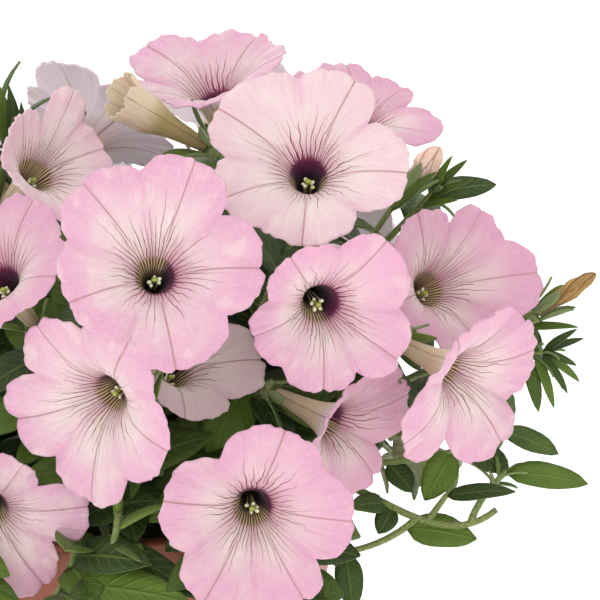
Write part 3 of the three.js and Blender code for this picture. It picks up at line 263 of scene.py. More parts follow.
# More such leaves, which only the dressed plant has. They close gaps in front, over the pot.
CURTAIN = {
    "rim_1": [(0.9, (92, -108, 118), 17), (0.8, (84, -122, 112), 16), (0.7, (98, -104, 132), 15),
              (0.98, (78, -124, 92), 15), (0.85, (87, -112, 120), 16)],
    "rim_2": [(0.9, (64, -140, 84), 18), (0.98, (40, -146, 86), 17), (0.7, (52, -140, 118), 17),
              (0.5, (28, -134, 128), 16)],
    "rim_3": [(0.6, (2, -132, 124), 17), (0.85, (22, -136, 112), 18), (0.98, (-2, -140, 98), 17),
              (0.9, (30, -138, 96), 17), (0.5, (-9, -130, 142), 16), (0.75, (-4, -138, 124), 18),
              (0.55, (22, -134, 138), 16), (0.7, (36, -136, 124), 18)],
    "rim_4": [(0.6, (-30, -128, 132), 18), (0.85, (-18, -136, 116), 18), (0.98, (-40, -138, 100), 17),
              (0.9, (-20, -142, 92), 16), (0.7, (-26, -130, 122), 17)],
    "rim_5": [(0.7, (-62, -118, 122), 18), (0.95, (-56, -128, 100), 17)],
    "bloom_17": [(0.72, (-36, -28, 297), 8), (0.8, (-31, -32, 291), 7), (0.86, (-34, -38, 286), 6),
                 (0.78, (-42, -24, 300), 8)],
}
LEAVES_FACE = np.array([0.1, -0.78, 0.62])
LEAVES_ARCH = 0.6

# ---- directions and numbers ------------------------------------------------------------------

UP = np.array([0.0, 0.0, 1.0])


def unit(v):
    return v / math.sqrt(v[0] * v[0] + v[1] * v[1] + v[2] * v[2])


def turns(count):
    """The angles that share out a full turn."""
    return np.arange(count) / count * 2 * math.pi


def facing(yaw, pitch):
    turn, rise = math.radians(yaw), math.radians(pitch)
    level = math.cos(rise)
    return np.array([math.sin(turn) * level, -math.cos(turn) * level, math.sin(rise)])


def stand(spec):
    """Where a bloom or bud sits, and which way it looks."""
    return np.array(spec["at"], float), facing(spec["yaw"], spec["pitch"])


def square(axis):
    """Two directions square to an axis: across (level) and over (the upper side)."""
    pole = np.array([0.0, 1.0, 0.0]) if abs(axis[2]) > 0.95 else UP
    across = unit(np.cross(pole, axis))
    return across, np.cross(axis, across)


def draw(seed):
    """The same number between 0 and 1 for the same whole number."""
    mask = 0xFFFFFFFF
    bits = ((seed + 7919) & mask) * 0x85EBCA6B & mask
    bits ^= bits >> 13
    bits = bits * 0xC2B2AE35 & mask
    bits ^= bits >> 16
    return bits / 4294967296


# ---- the rules of the plant ------------------------------------------------------------------


def settle(bloom, number):
    """Draws what the table leaves open, a little off the even five-fold shape."""
    turn = bloom.get("turn", 0)
    middles = dict(veins=[turn + lobe * 360 / LOBES for lobe in range(LOBES)],
                   gaps=[turn + (lobe + 0.5) * 360 / LOBES for lobe in range(LOBES)],
                   lobe=[1] * LOBES, notch=[NOTCH_REACH] * LOBES, lean=[0] * LOBES)
    for order, (name, middle) in enumerate(middles.items()):
        seed = number * 64 + order * 8
        bloom.setdefault(name, [value + STRAY[name] * (draw(seed + lobe) - 0.5)
                                for lobe, value in enumerate(middle)])


for index, settled in enumerate(BLOOMS.values()):
    settle(settled, index)


def petal_angle(bloom, place):
    """The angle round the axis at places counted in lobes: whole numbers are mid-veins, halves
    are notches."""
    knots = np.stack([bloom["veins"], bloom["gaps"]], 1).ravel()
    knots = np.append(knots, bloom["veins"][0] + 360)
    return np.radians(np.interp(np.mod(place, LOBES), np.arange(2 * LOBES + 1) / 2, knots))


def limb(bloom, place, share):
    """Radius and height of a bloom's limb at places counted in lobes and shares of its length."""
    nearest = np.floor(place + 0.5)
    aside = 2 * (place - nearest)
    own = np.mod(nearest, LOBES).astype(int)
    after = np.mod(own + np.sign(aside) + LOBES, LOBES).astype(int)
    blend = 0.5 * aside * aside
    lobe, notch, lean = (np.array(bloom[name], float) for name in ("lobe", "notch", "lean"))
    opened = np.radians(bloom.get("open", OPEN_ANGLE) + lean[own] + (lean[after] - lean[own]) * blend)
    steep = math.radians(bloom.get("funnel", FUNNEL_ANGLE))
    dip = lobe[own] - notch[np.where(aside < 0, after, own)]
    length = bloom.get("petal", PETAL_LENGTH) * (lobe[own] - dip * np.abs(aside) ** 3)
    radius = THROAT_RADIUS + 0 * place
    height = 0 * place
    for step in range(LIMB_STEPS):
        curl = (1 - (step + 0.5) / LIMB_STEPS * share) ** CURL_POWER
        slope = steep * curl + opened * (1 - curl)
        radius = radius + np.cos(slope) * length * share / LIMB_STEPS
        height = height + np.sin(slope) * length * share / LIMB_STEPS
    height = height + LOBE_FOLD * share * (np.abs(aside) ** 1.5 - 0.4)
    return radius, height, aside


def around_axis(at, axis, angle, radius, height):
    across, over = square(axis)
    angle, radius, height = np.broadcast_arrays(angle, radius, height)
    return (at + across * (np.cos(angle) * radius)[..., None]
            + over * (np.sin(angle) * radius)[..., None] + axis * height[..., None])


def leaf_outline(share, belly):
    return np.maximum(0, np.sin(np.pi * share ** belly)) ** 0.9


def leaf_points(leaf, share, side, proud=0.0, least=0.0):
    """Places on a leaf: share from root to tip, side from -1 to 1, proud above the surface."""
    bend = leaf["arch"] * share
    forward = leaf["length"] * np.sin(bend) / leaf["arch"]
    drop = leaf["length"] * (1 - np.cos(bend)) / leaf["arch"]
    across = np.cross(leaf["along"], leaf["face"])
    normal = leaf["face"] * np.cos(bend)[:, None] + leaf["along"] * np.sin(bend)[:, None]
    outline = leaf_outline(share, leaf["belly"])
    if least:
        outline = np.maximum(outline ** 0.72, least)
    half = leaf["width"] / 2 * outline
    point = (leaf["root"] + leaf["along"] * forward[:, None] - leaf["face"] * drop[:, None]
             + across * (side * half)[:, None])
    return point + normal * (np.abs(side) * half * LEAF_CUP + proud)[:, None]


def blade_points(leaf, start=0.0):
    rows = math.ceil(leaf["length"] / 3)
    columns = math.ceil(leaf["width"] / 6)
    first = math.ceil(start * rows)
    row, column = np.mgrid[first:rows + 1, -columns:columns + 1]
    return leaf_points(leaf, row.ravel() / rows, column.ravel() / columns)


CELL = 3
POT_MARKS = 220
POT_MARKS_FROM = 66
ROOM_LOW = np.array([-210, -210, 60])
ROOM_CELLS = (140, 140, 100)
SEVERAL = 255


class Room:
    """The space round the plant in small cells. A cell knows whose piece is in or next to it."""

    def __init__(self):
        self.cells = np.zeros(ROOM_CELLS[0] * ROOM_CELLS[1] * ROOM_CELLS[2], np.uint8)

    def cell(self, points):
        return np.floor((np.reshape(points, (-1, 3)) - ROOM_LOW) / CELL).astype(int)

    def index(self, x, y, z):
        return (z * ROOM_CELLS[1] + y) * ROOM_CELLS[0] + x

    def mark(self, points, owner):
        x, y, z = self.cell(points).T
        near = [self.index(x + a, y + b, z + c)
                for a in (-1, 0, 1) for b in (-1, 0, 1) for c in (-1, 0, 1)]
        here = np.unique(np.concatenate(near))
        here = here[(here >= 0) & (here < len(self.cells))]
        old = self.cells[here]
        self.cells[here] = np.where((old == 0) | (old == owner), owner, SEVERAL)

    def hits(self, points, owner):
        index = self.index(*self.cell(points).T)
        inside = (index >= 0) & (index < len(self.cells))
        found = self.cells[index[inside]]
        return int(np.sum((found != 0) & (found != owner)) + np.sum(~inside))


flower_room, view_room, green_room, blade_room = Room(), Room(), Room(), Room()


def mark_bloom(bloom, owner):
    at, axis = stand(bloom)
    place = (np.arange(50) / 50 * LOBES)[:, None]
    angle = petal_angle(bloom, place)
    radius, height, _ = limb(bloom, place, np.arange(11)[None] / 10)
    flower_room.mark(around_axis(at, axis, angle, radius, height), owner)
    along = np.arange(8)[None] / 7
    flower_room.mark(around_axis(at, axis, angle, NECK_RADIUS + (THROAT_RADIUS - NECK_RADIUS) * along,
                                 (along - 1) * TUBE_LENGTH), owner)
    radius, height, _ = limb(bloom, place, np.arange(2, 8)[None] / 10)
    for lift in VIEW_LIFTS:
        view_room.mark(around_axis(at, axis, angle, radius, height + lift), owner)


def mark_bud(spec, owner):
    at, axis = stand(spec)
    flower_room.mark(at + axis * np.arange(0, spec["length"] + 1, 3)[:, None], owner)


def mark_leaf(leaf, owner):
    green_room.mark(blade_points(leaf), owner)
    blade_room.mark(blade_points(leaf, BLADE_START), owner)


def pot_radius(height):
    return POT_BASE_RADIUS + (POT_MOUTH_RADIUS - POT_BASE_RADIUS) * height / POT_HEIGHT


def mark_pot():
    angle = turns(POT_MARKS)
    ring = np.stack([np.cos(angle), np.sin(angle), 0 * angle], 1)
    for height in range(POT_MARKS_FROM, POT_HEIGHT + 1, CELL):
        lip = POT_LIP_OUT if height > POT_HEIGHT - POT_LIP_HEIGHT else 0
        for radius in (pot_radius(height) + lip, pot_radius(height) - POT_WALL):
            flower_room.mark(ring * radius + UP * height, SEVERAL)
    for radius in range(2, POT_MOUTH_RADIUS, 4):
        flower_room.mark(ring * radius + UP * (SOIL_TOP - 3), SEVERAL)


def flower_mark(name):
    names = [*BLOOMS, *BUDS]
    return names.index(name) + 1 if name in names else 0


def tip_of(name):
    """The end of a stem: where it stops and the way it points there."""
    if name in BLOOMS:
        at, axis = stand(BLOOMS[name])
        end = at + axis * (-TUBE_LENGTH - SEAT_GAP - CALYX_SEAT)
        return dict(name=name, end=end, axis=axis, mark=flower_mark(name), start=None, low=None)
    spec = BUDS.get(name) or SPRAYS[name]
    end = np.array(spec["at"], float)
    axis = unit(end - spec["near"]) if "low" in spec else facing(spec["yaw"], spec["pitch"])
    return dict(name=name, end=end, axis=axis, mark=flower_mark(name), start=spec.get("start"),
                low=spec.get("low"), near=spec.get("near"))


class StemCurve:
    """A cubic curve with a bow aside that fades out at both ends."""

    def __init__(self, start, low, near, end, bow):
        self.corners, self.bow = (start, low, near, end), bow

    def points(self, share):
        t = np.reshape(share, (-1, 1))
        k = 1 - t
        a, b, c, d = self.corners
        cubic = k * k * k * a + 3 * k * k * t * b + 3 * k * t * t * c + t * t * t * d
        return cubic + self.bow * (16 * t * t * k * k)

    def point(self, share):
        return self.points([share])[0]

    def tangent(self, share):
        low, high = max(0.0, share - 0.0001), min(1.0, share + 0.0001)
        return unit(self.point(high) - self.point(low))

    def length(self):
        steps = np.diff(self.points(np.arange(201) / 200), axis=0)
        return float(np.sqrt((steps ** 2).sum(1)).sum())

    def spaced(self, step=4):
        count = math.ceil(self.length() / step)
        return self.points(np.arange(count + 1) / count)


def route(start, heading, tip, owner):
    """A curve from a start to a tip that passes the blooms and the other stems."""
    if tip["low"]:
        return StemCurve(start, np.array(tip["low"]), np.array(tip["near"]), tip["end"], 0 * start)
    toward = tip["end"] - start
    span = math.sqrt(toward @ toward)
    across, over = square(unit(toward))
    best = None
    for aside in ROUTE_BOWS:
        for lift, reach in CURVE_SHAPES:
            for angle in turns(ROUTE_TURNS)[:ROUTE_TURNS if aside else 1]:
                bow = across * (math.cos(angle) * aside) + over * (math.sin(angle) * aside)
                curve = StemCurve(start, start + heading * (lift * span),
                                  tip["end"] - tip["axis"] * (reach * span), tip["end"], bow)
                points = curve.spaced()[2:]
                hits = flower_room.hits(points, tip["mark"]) + green_room.hits(points, owner)
                if best is None or hits < best[1]:
                    best = (curve, hits)
                if hits == 0:
                    return curve
    return best[0]


def leaf_at(curve, share, angle, spread, length, width, arch, belly):
    """A leaf that leaves a stem, turned round it by an angle, upper face outwards and up."""
    tangent = curve.tangent(share)
    across, over = square(tangent)
    out = across * math.cos(angle) + over * math.sin(angle)
    along = unit(tangent * math.cos(spread) + out * math.sin(spread))
    root = curve.point(share) + along * (ROOT_OUT * STEM_RADIUS)
    light = unit(root * (1, 1, 0)) * LIGHT_OUTWARDS + UP * LIGHT_UP
    face = unit(light - along * (light @ along))
    return dict(root=root, along=along, face=face, length=length, width=width, arch=arch, belly=belly)


def leaf_to(curve, share, place, width):
    """A leaf from a share of a stem to a given place."""
    chord = np.array(place, float) - curve.point(share)
    reach = math.sqrt(chord @ chord)
    chord = chord / reach
    normal = unit(LEAVES_FACE - chord * (LEAVES_FACE @ chord))
    half = LEAVES_ARCH / 2
    along = chord * math.cos(half) + normal * math.sin(half)
    face = normal * math.cos(half) - chord * math.sin(half)
    return dict(root=curve.point(share) + along * (ROOT_OUT * STEM_RADIUS), along=along, face=face,
                length=reach * half / math.sin(half), width=width, arch=LEAVES_ARCH, belly=LEAF_BELLY)


def leaf_fits(leaf, owner):
    points = blade_points(leaf, STALK_SHARE)
    return (flower_room.hits(points, 0) + view_room.hits(points, 0)
            + green_room.hits(points, owner) + blade_room.hits(blade_points(leaf, BLADE_START), 0)) == 0


def leaves_along(curve, owner, seed, start, spacing):
    length = curve.length()
    found = []
    place = start
    while place < length - TIP_CLEARANCE:
        number = seed * 64 + place
        share = place / length
        base = GOLDEN_TURN * (place / spacing) + 360 * draw(seed)
        size = (1.12 - 0.34 * share) * (0.88 + 0.24 * draw(number))
        spread = math.radians(52 + 26 * draw(number + 1))
        arch = 0.5 + 0.7 * draw(number + 2)
        for shrink, turn in product(LEAF_SHRINKS, LEAF_TURNS):
            leaf = leaf_at(curve, share, math.radians(base + turn), spread,
                           LEAF_LENGTH * size * shrink, LEAF_WIDTH * size * shrink, arch, LEAF_BELLY)
            if leaf_fits(leaf, owner):
                mark_leaf(leaf, owner)
                found.append(leaf)
                break
        place += spacing
    return found


def young_leaves(curve, owner, seed, count, scale):
    length = curve.length()
    found = []
    for place in range(count):
        number = seed * 64 + place
        share = 1 - YOUNG_SPACING * (count - 1 - place) / length - 0.5 / length
        size = scale * (0.8 + 0.4 * draw(number))
        leaf = leaf_at(curve, share, math.radians(GOLDEN_TURN * place),
                       math.radians(62 - 44 * place / count), YOUNG_LENGTH * size,
                       YOUNG_WIDTH * size, 0.5 + 0.5 * draw(number + 1), LEAF_BELLY)
        points = blade_points(leaf, 0.2)
        if flower_room.hits(points, 0) + green_room.hits(points, owner) == 0:
            green_room.mark(points, owner)
            found.append(leaf)
    return found


def sepal_points(tip):
    angle = ((np.arange(10) + 0.5) / 10 * 2 * math.pi)[:, None]
    along = np.arange(0, SEPAL_LENGTH + 1, 3)[None]
    at = tip["end"] + tip["axis"] * CALYX_SEAT
    return around_axis(at, tip["axis"], angle, CALYX_RADIUS + along * math.sin(SEPAL_FLARE),
                       along * math.cos(SEPAL_FLARE))


def grow():
    """Lays out all stems, sepals and leaves, in the same order as the solids."""
    mark_pot()
    for name, bloom in BLOOMS.items():
        mark_bloom(bloom, flower_mark(name))
    for name, spec in BUDS.items():
        mark_bud(spec, flower_mark(name))
    grown = []
    for owner, (name, (hole, tip_names)) in enumerate(STEMS.items(), 1):
        foot = np.array([*hole, SOIL_TOP], float)
        tips = [tip_of(tip) for tip in tip_names]
        main = route(foot, UP, tips[0], owner)
        curves = [main]
        for branch, tip in enumerate(tips[1:]):
            share = tip["start"] or BRANCH_SHARE - BRANCH_STEP * branch
            begin = main.point(share)
            heading = unit(unit(tip["end"] - begin) + main.tangent(share) * BRANCH_HEADING)
            curves.append(route(begin, heading, tip, owner))
        for curve in curves:
            green_room.mark(curve.spaced(), owner)
        grown.append(dict(name=name, owner=owner, tips=tips, curves=curves, young=[], leaves=[]))
    for stem in grown:
        for tip in stem["tips"]:
            if tip["name"] not in SPRAYS:
                green_room.mark(sepal_points(tip), stem["owner"])
    for stem in grown:
        for tip, curve in zip(stem["tips"], stem["curves"]):
            for share, place, width in LEAVES.get(tip["name"], []):
                leaf = leaf_to(curve, share, place, width)
                mark_leaf(leaf, stem["owner"])
                stem["leaves"].append(leaf)
    for stem in grown:
        for index, (tip, curve) in enumerate(zip(stem["tips"], stem["curves"])):
            spec = SPRAYS.get(tip["name"], dict(young=0))
            stem["young"] += young_leaves(curve, stem["owner"], stem["owner"] * 4 + index,
                                          spec["young"], spec.get("size", 1))
    for stem in grown:
        for index, (tip, curve) in enumerate(zip(stem["tips"], stem["curves"])):
            spacing = SPRAY_SPACING if tip["name"] in SPRAYS else LEAF_SPACING
            if not tip["low"]:
                stem["leaves"] += leaves_along(curve, stem["owner"], stem["owner"] * 4 + index,
                                               FIRST_ON_BRANCH if index else FIRST_ON_STEM, spacing)
    return grown


# ---- materials -------------------------------------------------------------------------------

PETAL_GLOW = dict(Subsurface_Weight=0.4, Subsurface_Scale=0.0025, Subsurface_Radius=(1.0, 0.8, 0.88))
STRIPE_TURN = 37.7  # six dark stripes in the tube to each lobe
FOLD_TURN = 15.708  # five folds round a closed bud


def tone(red, green, blue):
    """A colour given as it looks on a screen, 0 to 255, as Blender's linear numbers."""
    def linear(value):
        value /= 255
        return value / 12.92 if value <= 0.04045 else ((value + 0.055) / 1.055) ** 2.4
    return linear(red), linear(green), linear(blue), 1.0


class Value:
    """A number that changes over a piece. Sums and products of such numbers add nodes."""

    def __init__(self, finish, socket):
        self.finish, self.socket = finish, socket

    def __add__(self, other):
        return self.finish.math("ADD", self, other)

    def __sub__(self, other):
        return self.finish.math("SUBTRACT", self, other)

    def __rsub__(self, other):
        return self.finish.math("SUBTRACT", other, self)

    def __mul__(self, other):
        return self.finish.math("MULTIPLY", self, other)

    def __truediv__(self, other):
        return self.finish.math("DIVIDE", self, other)

    def __rtruediv__(self, other):
        return self.finish.math("DIVIDE", other, self)

    def __pow__(self, other):
        return self.finish.math("POWER", self, other)

    def __abs__(self):
        return self.finish.math("ABSOLUTE", self)

    def most(self, other):
        return self.finish.math("MAXIMUM", self, other)

    def ramp(self, low, high, start=0.0, end=1.0):
        """start below low, end above high, and a smooth change between them."""
        inputs = dict(enumerate((self, low, high, start, end)))
        return self.finish.node("MapRange", 0, inputs, interpolation_type="SMOOTHSTEP")


class Finish:
    """A material: its colour so far, and short ways to join its nodes."""

    def __init__(self, name, base, roughness, **constants):
        self.material = bpy.data.materials.new(name)
        self.material.use_nodes = True
        self.tree = self.material.node_tree
        self.shader = self.tree.nodes["Principled BSDF"]
        self.base = base
        for socket, value in dict(constants, Roughness=roughness).items():
            self.shader.inputs[socket.replace("_", " ")].default_value = value

    def put(self, socket, value):
        if isinstance(value, Value):
            self.tree.links.new(value.socket, socket)
        else:
            socket.default_value = value

    def node(self, kind, output, inputs, **settings):
        """Adds a node with its settings and inputs, and gives one of its outputs."""
        node = self.tree.nodes.new("ShaderNode" + kind)
        for name, setting in settings.items():
            setattr(node, name, setting)
        for name, value in inputs.items():
            self.put(node.inputs[name], value)
        return Value(self, node.outputs[output])

    def math(self, operation, a, b=0.0, clamp=False):
        return self.node("Math", 0, {0: a, 1: b}, operation=operation, use_clamp=clamp)

    def mix(self, share, a, b):
        return self.node("Mix", 2, {0: share, 6: a, 7: b}, data_type="RGBA")

    def coat(self, share, colour):
        """Lays a share of another colour over the colour so far."""
        self.base = self.mix(share, self.base, colour)

    def saw(self, value):
        """0.5 at whole numbers and 0 halfway between them."""
        return abs(self.math("FRACT", value) - 0.5)

    def place(self):
        return self.node("TexCoord", "Object", {})

    def axes(self, vector):
        """The three numbers of a place."""
        node = self.tree.nodes.new("ShaderNodeSeparateXYZ")
        self.put(node.inputs[0], vector)
        return [Value(self, output) for output in node.outputs]

    def pattern(self):
        """The two numbers of the piece's own UV map."""
        return self.axes(self.node("UVMap", 0, {}))[:2]

    def attribute(self, name):
        return self.node("Attribute", "Fac", {}, attribute_name=name)

    def point(self, x, y, z=0.0):
        return self.node("CombineXYZ", 0, {0: x, 1: y, 2: z})

    def noise(self, where, scale, detail=3.0):
        return self.node("TexNoise", 0, dict(Vector=where, Scale=scale, Detail=detail))

    def chance(self, number):
        return self.node("TexWhiteNoise", 0, dict(W=number), noise_dimensions="1D")

    def cells(self, where, scale):
        return self.node("TexVoronoi", "Distance", dict(Vector=where, Scale=scale))

    def done(self, relief=None, depth=0.0, strength=1.0):
        """Joins the colour and the relief, whose depth is in metres, to the shader."""
        self.put(self.shader.inputs["Base Color"], self.base)
        if relief:
            bump = self.node("Bump", 0, dict(Height=relief, Distance=depth, Strength=strength))
            self.put(self.shader.inputs["Normal"], bump)
        return self.material


def streaks(finish, u, v, per_lobe, thick, short, long, seed, start=-0.5):
    """Thin lines that run out from the throat, each to a length of its own, broken towards the
    end."""
    def noise_at(stretch, rise, scale, size):
        where = finish.point(u * stretch, v * rise, seed)
        return (finish.noise(where, scale, 2.0) - 0.5) * size
    turned = u + (noise_at(1.0, 1.6, 2.0, 0.22) + noise_at(3.0, 5.0, 1.5, 0.015))
    spread = turned * per_lobe + seed
    offset = finish.saw(spread)
    lot = finish.chance(finish.math("FLOOR", spread))
    reach = lot * (long - short) + short
    left = finish.math("SUBTRACT", 1.0, v / reach, clamp=True)
    width = left ** 0.6 * (thick / (v * 3.4 + 1.0).most(0.8))
    line = finish.math("DIVIDE", width - offset, (width * 0.5).most(0.004), clamp=True)
    dashes = (noise_at(per_lobe * 0.8, 11.0, 1.0, 1.0) + left * 0.6).ramp(-0.06, 0.1)
    return line * dashes * v.ramp(start, start + 0.12)


def petal_face(name, edge, middle, pale, vein, flush):
    """The inner face of a bloom: long dark veins, a netted dark eye on one side of the throat and
    a crease along each lobe. low is 0 on the dark side of the throat and 1 on the pale side."""
    finish = Finish(name, middle, 0.6, Sheen_Weight=0.1, Specular_IOR_Level=0.25, **PETAL_GLOW)
    u, v = finish.pattern()
    low, rose_and_shade = finish.attribute("low"), finish.attribute("rose_and_shade")
    aside = finish.saw(u + 0.5)
    cloud = finish.noise(finish.place(), 48.0)
    speck = finish.noise(finish.place(), 700.0, 2.0)
    blotch = finish.noise(finish.place(), 95.0, 4.0)
    finish.coat((v + cloud * 0.5).ramp(0.6, 1.35), edge)
    finish.coat(speck.ramp(0.4, 0.7) * 0.14, pale)
    finish.coat(blotch.ramp(0.48, 0.68) * 0.4, pale)
    finish.coat(blotch.ramp(0.44, 0.3) * 0.35, vein)
    # each bloom's own pinkness, with painted shade darkening some blooms and painted light lightening
    # others
    finish.coat(rose_and_shade.ramp(0.0, 1.0, 0.0, 0.55), tone(204, 150, 172))
    finish.coat(rose_and_shade.ramp(0.0, -1.0, 0.0, 0.5), pale)
    heart = v.ramp(0.8, 0.12) * aside.ramp(0.5, 0.16, 0.35, 1.0)
    finish.coat(heart * low.ramp(0.05, 0.75, 0.25, 0.95), pale)
    finish.coat(v.ramp(0.32, 0.05) * low.ramp(0.15, 0.75, 0.2, 0.0), flush)
    # fine ribs that run along the lobe, painted shade along the fold between two lobes, and the crease
    # along each
    ribs = finish.noise(finish.point(u * 44.0, v * 2.2), 1.0, 2.0)
    fold = aside.ramp(0.42, 0.5) * v.ramp(0.35, 0.9, 0.0, 0.4)
    crease = (aside * (v + 0.3)).ramp(0.011, 0.004) * v.ramp(0.05, 0.35, 0.0, 0.75)
    finish.coat(ribs.ramp(0.4, 0.75) * 0.2, vein)
    # painted shade: a darker line where two lobes fold over each other, stronger towards the edge
    finish.coat(fold, vein)
    finish.coat(crease, tone(196, 140, 138))
    main = streaks(finish, u, v, 8, 0.24, 0.26, 0.74, 3.0)
    fork = streaks(finish, u, v, 13, 0.2, 0.26, 0.66, 17.0, 0.1)
    fine = streaks(finish, u, v, 21, 0.3, 0.12, 0.44, 41.0)
    finish.coat(fine * low.ramp(0.1, 0.9, 0.85, 0.45), tone(160, 88, 106))
    finish.coat(fork * 0.6, tone(152, 70, 84))
    finish.coat(main * v.ramp(0.25, 0.7, 0.95, 0.5), tone(126, 40, 58))
    # the dark eye, with a ragged edge that follows the veins
    ragged = v + (finish.noise(finish.point(u * 11.0, v * 3.0), 1.0) - 0.5) * 0.3
    spread = ragged + (1.0 - main.most(fine)) * 0.09 + low * 0.26
    net = finish.cells(finish.point(u * 9.0, v * 16.0), 1.0)
    eye = finish.mix(net.ramp(0.2, 0.5), tone(72, 12, 40), tone(122, 38, 76))
    finish.coat(spread.ramp(0.15, 0.09, 0.0, 0.92), eye)
    # the inside of the tube: olive with dark stripes on the pale side, dark purple on the other, both
    # painted darker further down the tube as shade in its depth
    stripe = finish.math("SINE", (u + ribs * 0.08) * STRIPE_TURN).ramp(-0.1, 0.6)
    olive = finish.mix(stripe, tone(112, 62, 60), tone(214, 204, 150))
    # painted shade: both sides grow darker further down the tube
    olive = finish.mix(v.ramp(-0.15, -0.55), olive, tone(66, 56, 26))
    deep = finish.mix(v.ramp(0.0, -0.3), tone(84, 22, 60), tone(40, 8, 30))
    finish.coat(v.ramp(0.03, -0.06), finish.mix(low.ramp(0.3, 0.62), deep, olive))
    return finish.done(ribs * 0.7 - (main * 0.1 + (crease + fold)) + blotch * 1.6, 0.001, 0.8)


def petal_back(name, edge, pale, tube, stripe):
    """The outer face of a bloom: paler, with stripes that run up from the tube."""
    finish = Finish(name, edge, 0.65, Sheen_Weight=0.12, Specular_IOR_Level=0.2, **PETAL_GLOW)
    u, v = finish.pattern()
    ribs = finish.noise(finish.point(u * 38.0, v * 1.5), 1.0, 2.0)
    rib = (finish.saw(u + 0.5) * (v + 1.2)).ramp(0.036, 0.014)
    lines = streaks(finish, u, v + 1.0, 5, 0.3, 1.15, 1.6, 11.0)
    finish.coat(finish.noise(finish.place(), 55.0) * 0.9, pale)
    finish.coat(v.ramp(0.4, -0.2), tube)
    finish.coat(ribs.ramp(0.45, 0.7) * v.ramp(0.9, 0.0, 0.12, 0.4), stripe)
    finish.coat(rib * v.ramp(1.0, 0.1, 0.15, 0.7), stripe)
    finish.coat(lines * 0.6, stripe)
    return finish.done(ribs * 0.6 + rib, 0.0007, 0.6)


def leaf_finish(name, dark, light, vein, under):
    """A leaf: UV runs from root to tip and across; tint is each leaf's own number."""
    finish = Finish(name, dark, 0.5, Sheen_Weight=0.05, Specular_IOR_Level=0.3,
                    Subsurface_Weight=0.05, Subsurface_Scale=0.002)
    u, v = finish.pattern()
    side = abs(v)
    cloud = finish.noise(finish.place(), 90.0, 4.0)
    finish.coat((cloud * 0.5 + finish.attribute("tint") * 0.75).ramp(0.3, 0.95), light)
    ladder = finish.saw(u * 7.5 - side * 1.7).ramp(0.16, 0.02)
    lines = (ladder * side.ramp(1.0, 0.5, 0.15, 0.6)).most(side.ramp(0.13, 0.03))
    finish.coat(lines * 0.4, vein)
    finish.coat(finish.attribute("under"), under)
    return finish.done(cloud * 0.35 - lines, 0.0008, 0.6)


def stem_finish():
    finish = Finish("stem_green", tone(92, 112, 46), 0.5, Sheen_Weight=0.25, Specular_IOR_Level=0.4)
    u, v = finish.pattern()
    streak = finish.noise(finish.point(u * 14.0, v * 0.8), 1.0)
    finish.coat(streak.ramp(0.35, 0.7), tone(140, 150, 84))
    finish.coat(finish.noise(finish.place(), 70.0).ramp(0.5, 0.75) * 0.35, tone(122, 104, 66))
    return finish.done(streak, 0.0004, 0.5)


def plain_finish(name, one, other, scale, roughness, depth):
    """Two mixed tones and a fine grain."""
    finish = Finish(name, one, roughness)
    cloud = finish.noise(finish.place(), scale, 5.0)
    finish.coat(cloud.ramp(0.35, 0.65), other)
    return finish.done(cloud, depth, 0.6)


def pot_finish():
    """Terracotta-coloured moulded plastic with dust, water marks and soil splashes at the rim."""
    finish = Finish("pot_terracotta", tone(158, 86, 64), 0.5, Specular_IOR_Level=0.45)
    where = finish.place()
    z = finish.axes(where)[2]
    cloud = finish.noise(where, 26.0, 5.0)
    grain = finish.noise(where, 900.0, 2.0)
    dust = finish.noise(where, 70.0, 6.0).ramp(0.52, 0.72) * z.ramp(0.05, 0.0, 0.25, 0.7)
    splash = finish.noise(where, 240.0).ramp(0.6, 0.68) * z.ramp(0.1, 0.135, 0.0, 0.55)
    finish.coat(cloud.ramp(0.3, 0.7), tone(176, 100, 74))
    finish.coat(dust, tone(196, 150, 128))
    finish.coat(splash, tone(70, 46, 34))
    finish.put(finish.shader.inputs["Roughness"], cloud.ramp(0.3, 0.7, 0.42, 0.58))
    return finish.done(grain * 0.3 + cloud * 0.5, 0.0003, 0.5)


def soil_finish():
    finish = Finish("soil_dark", tone(36, 24, 18), 0.95, Specular_IOR_Level=0.2)
    where = finish.place()
    grain = finish.noise(where, 420.0, 5.0)
    lumps = finish.cells(where, 190.0)
    finish.coat(grain.ramp(0.35, 0.7), tone(84, 60, 44))
    finish.base = finish.mix(lumps.ramp(0.1, 0.45), tone(24, 16, 12), finish.base)
    return finish.done(grain + lumps, 0.0016, 0.9)


def folded_finish(name, light, dark, line):
    """Folded or dried petals of a bud, streaked along the bud."""
    finish = Finish(name, dark, 0.7, Sheen_Weight=0.1, Specular_IOR_Level=0.25)
    u, v = finish.pattern()
    twist = u + v * 0.35
    streak = finish.noise(finish.point(twist * 34.0, v * 3.0), 1.0, 4.0)
    fold = abs(finish.math("SINE", twist * FOLD_TURN))
    finish.coat(streak.ramp(0.3, 0.7), light)
    finish.coat(fold.ramp(0.22, 0.05) * 0.8, line)
    finish.coat(v.ramp(0.25, 0.0), tone(150, 150, 84))
    return finish.done(streak + fold, 0.0009, 0.8)


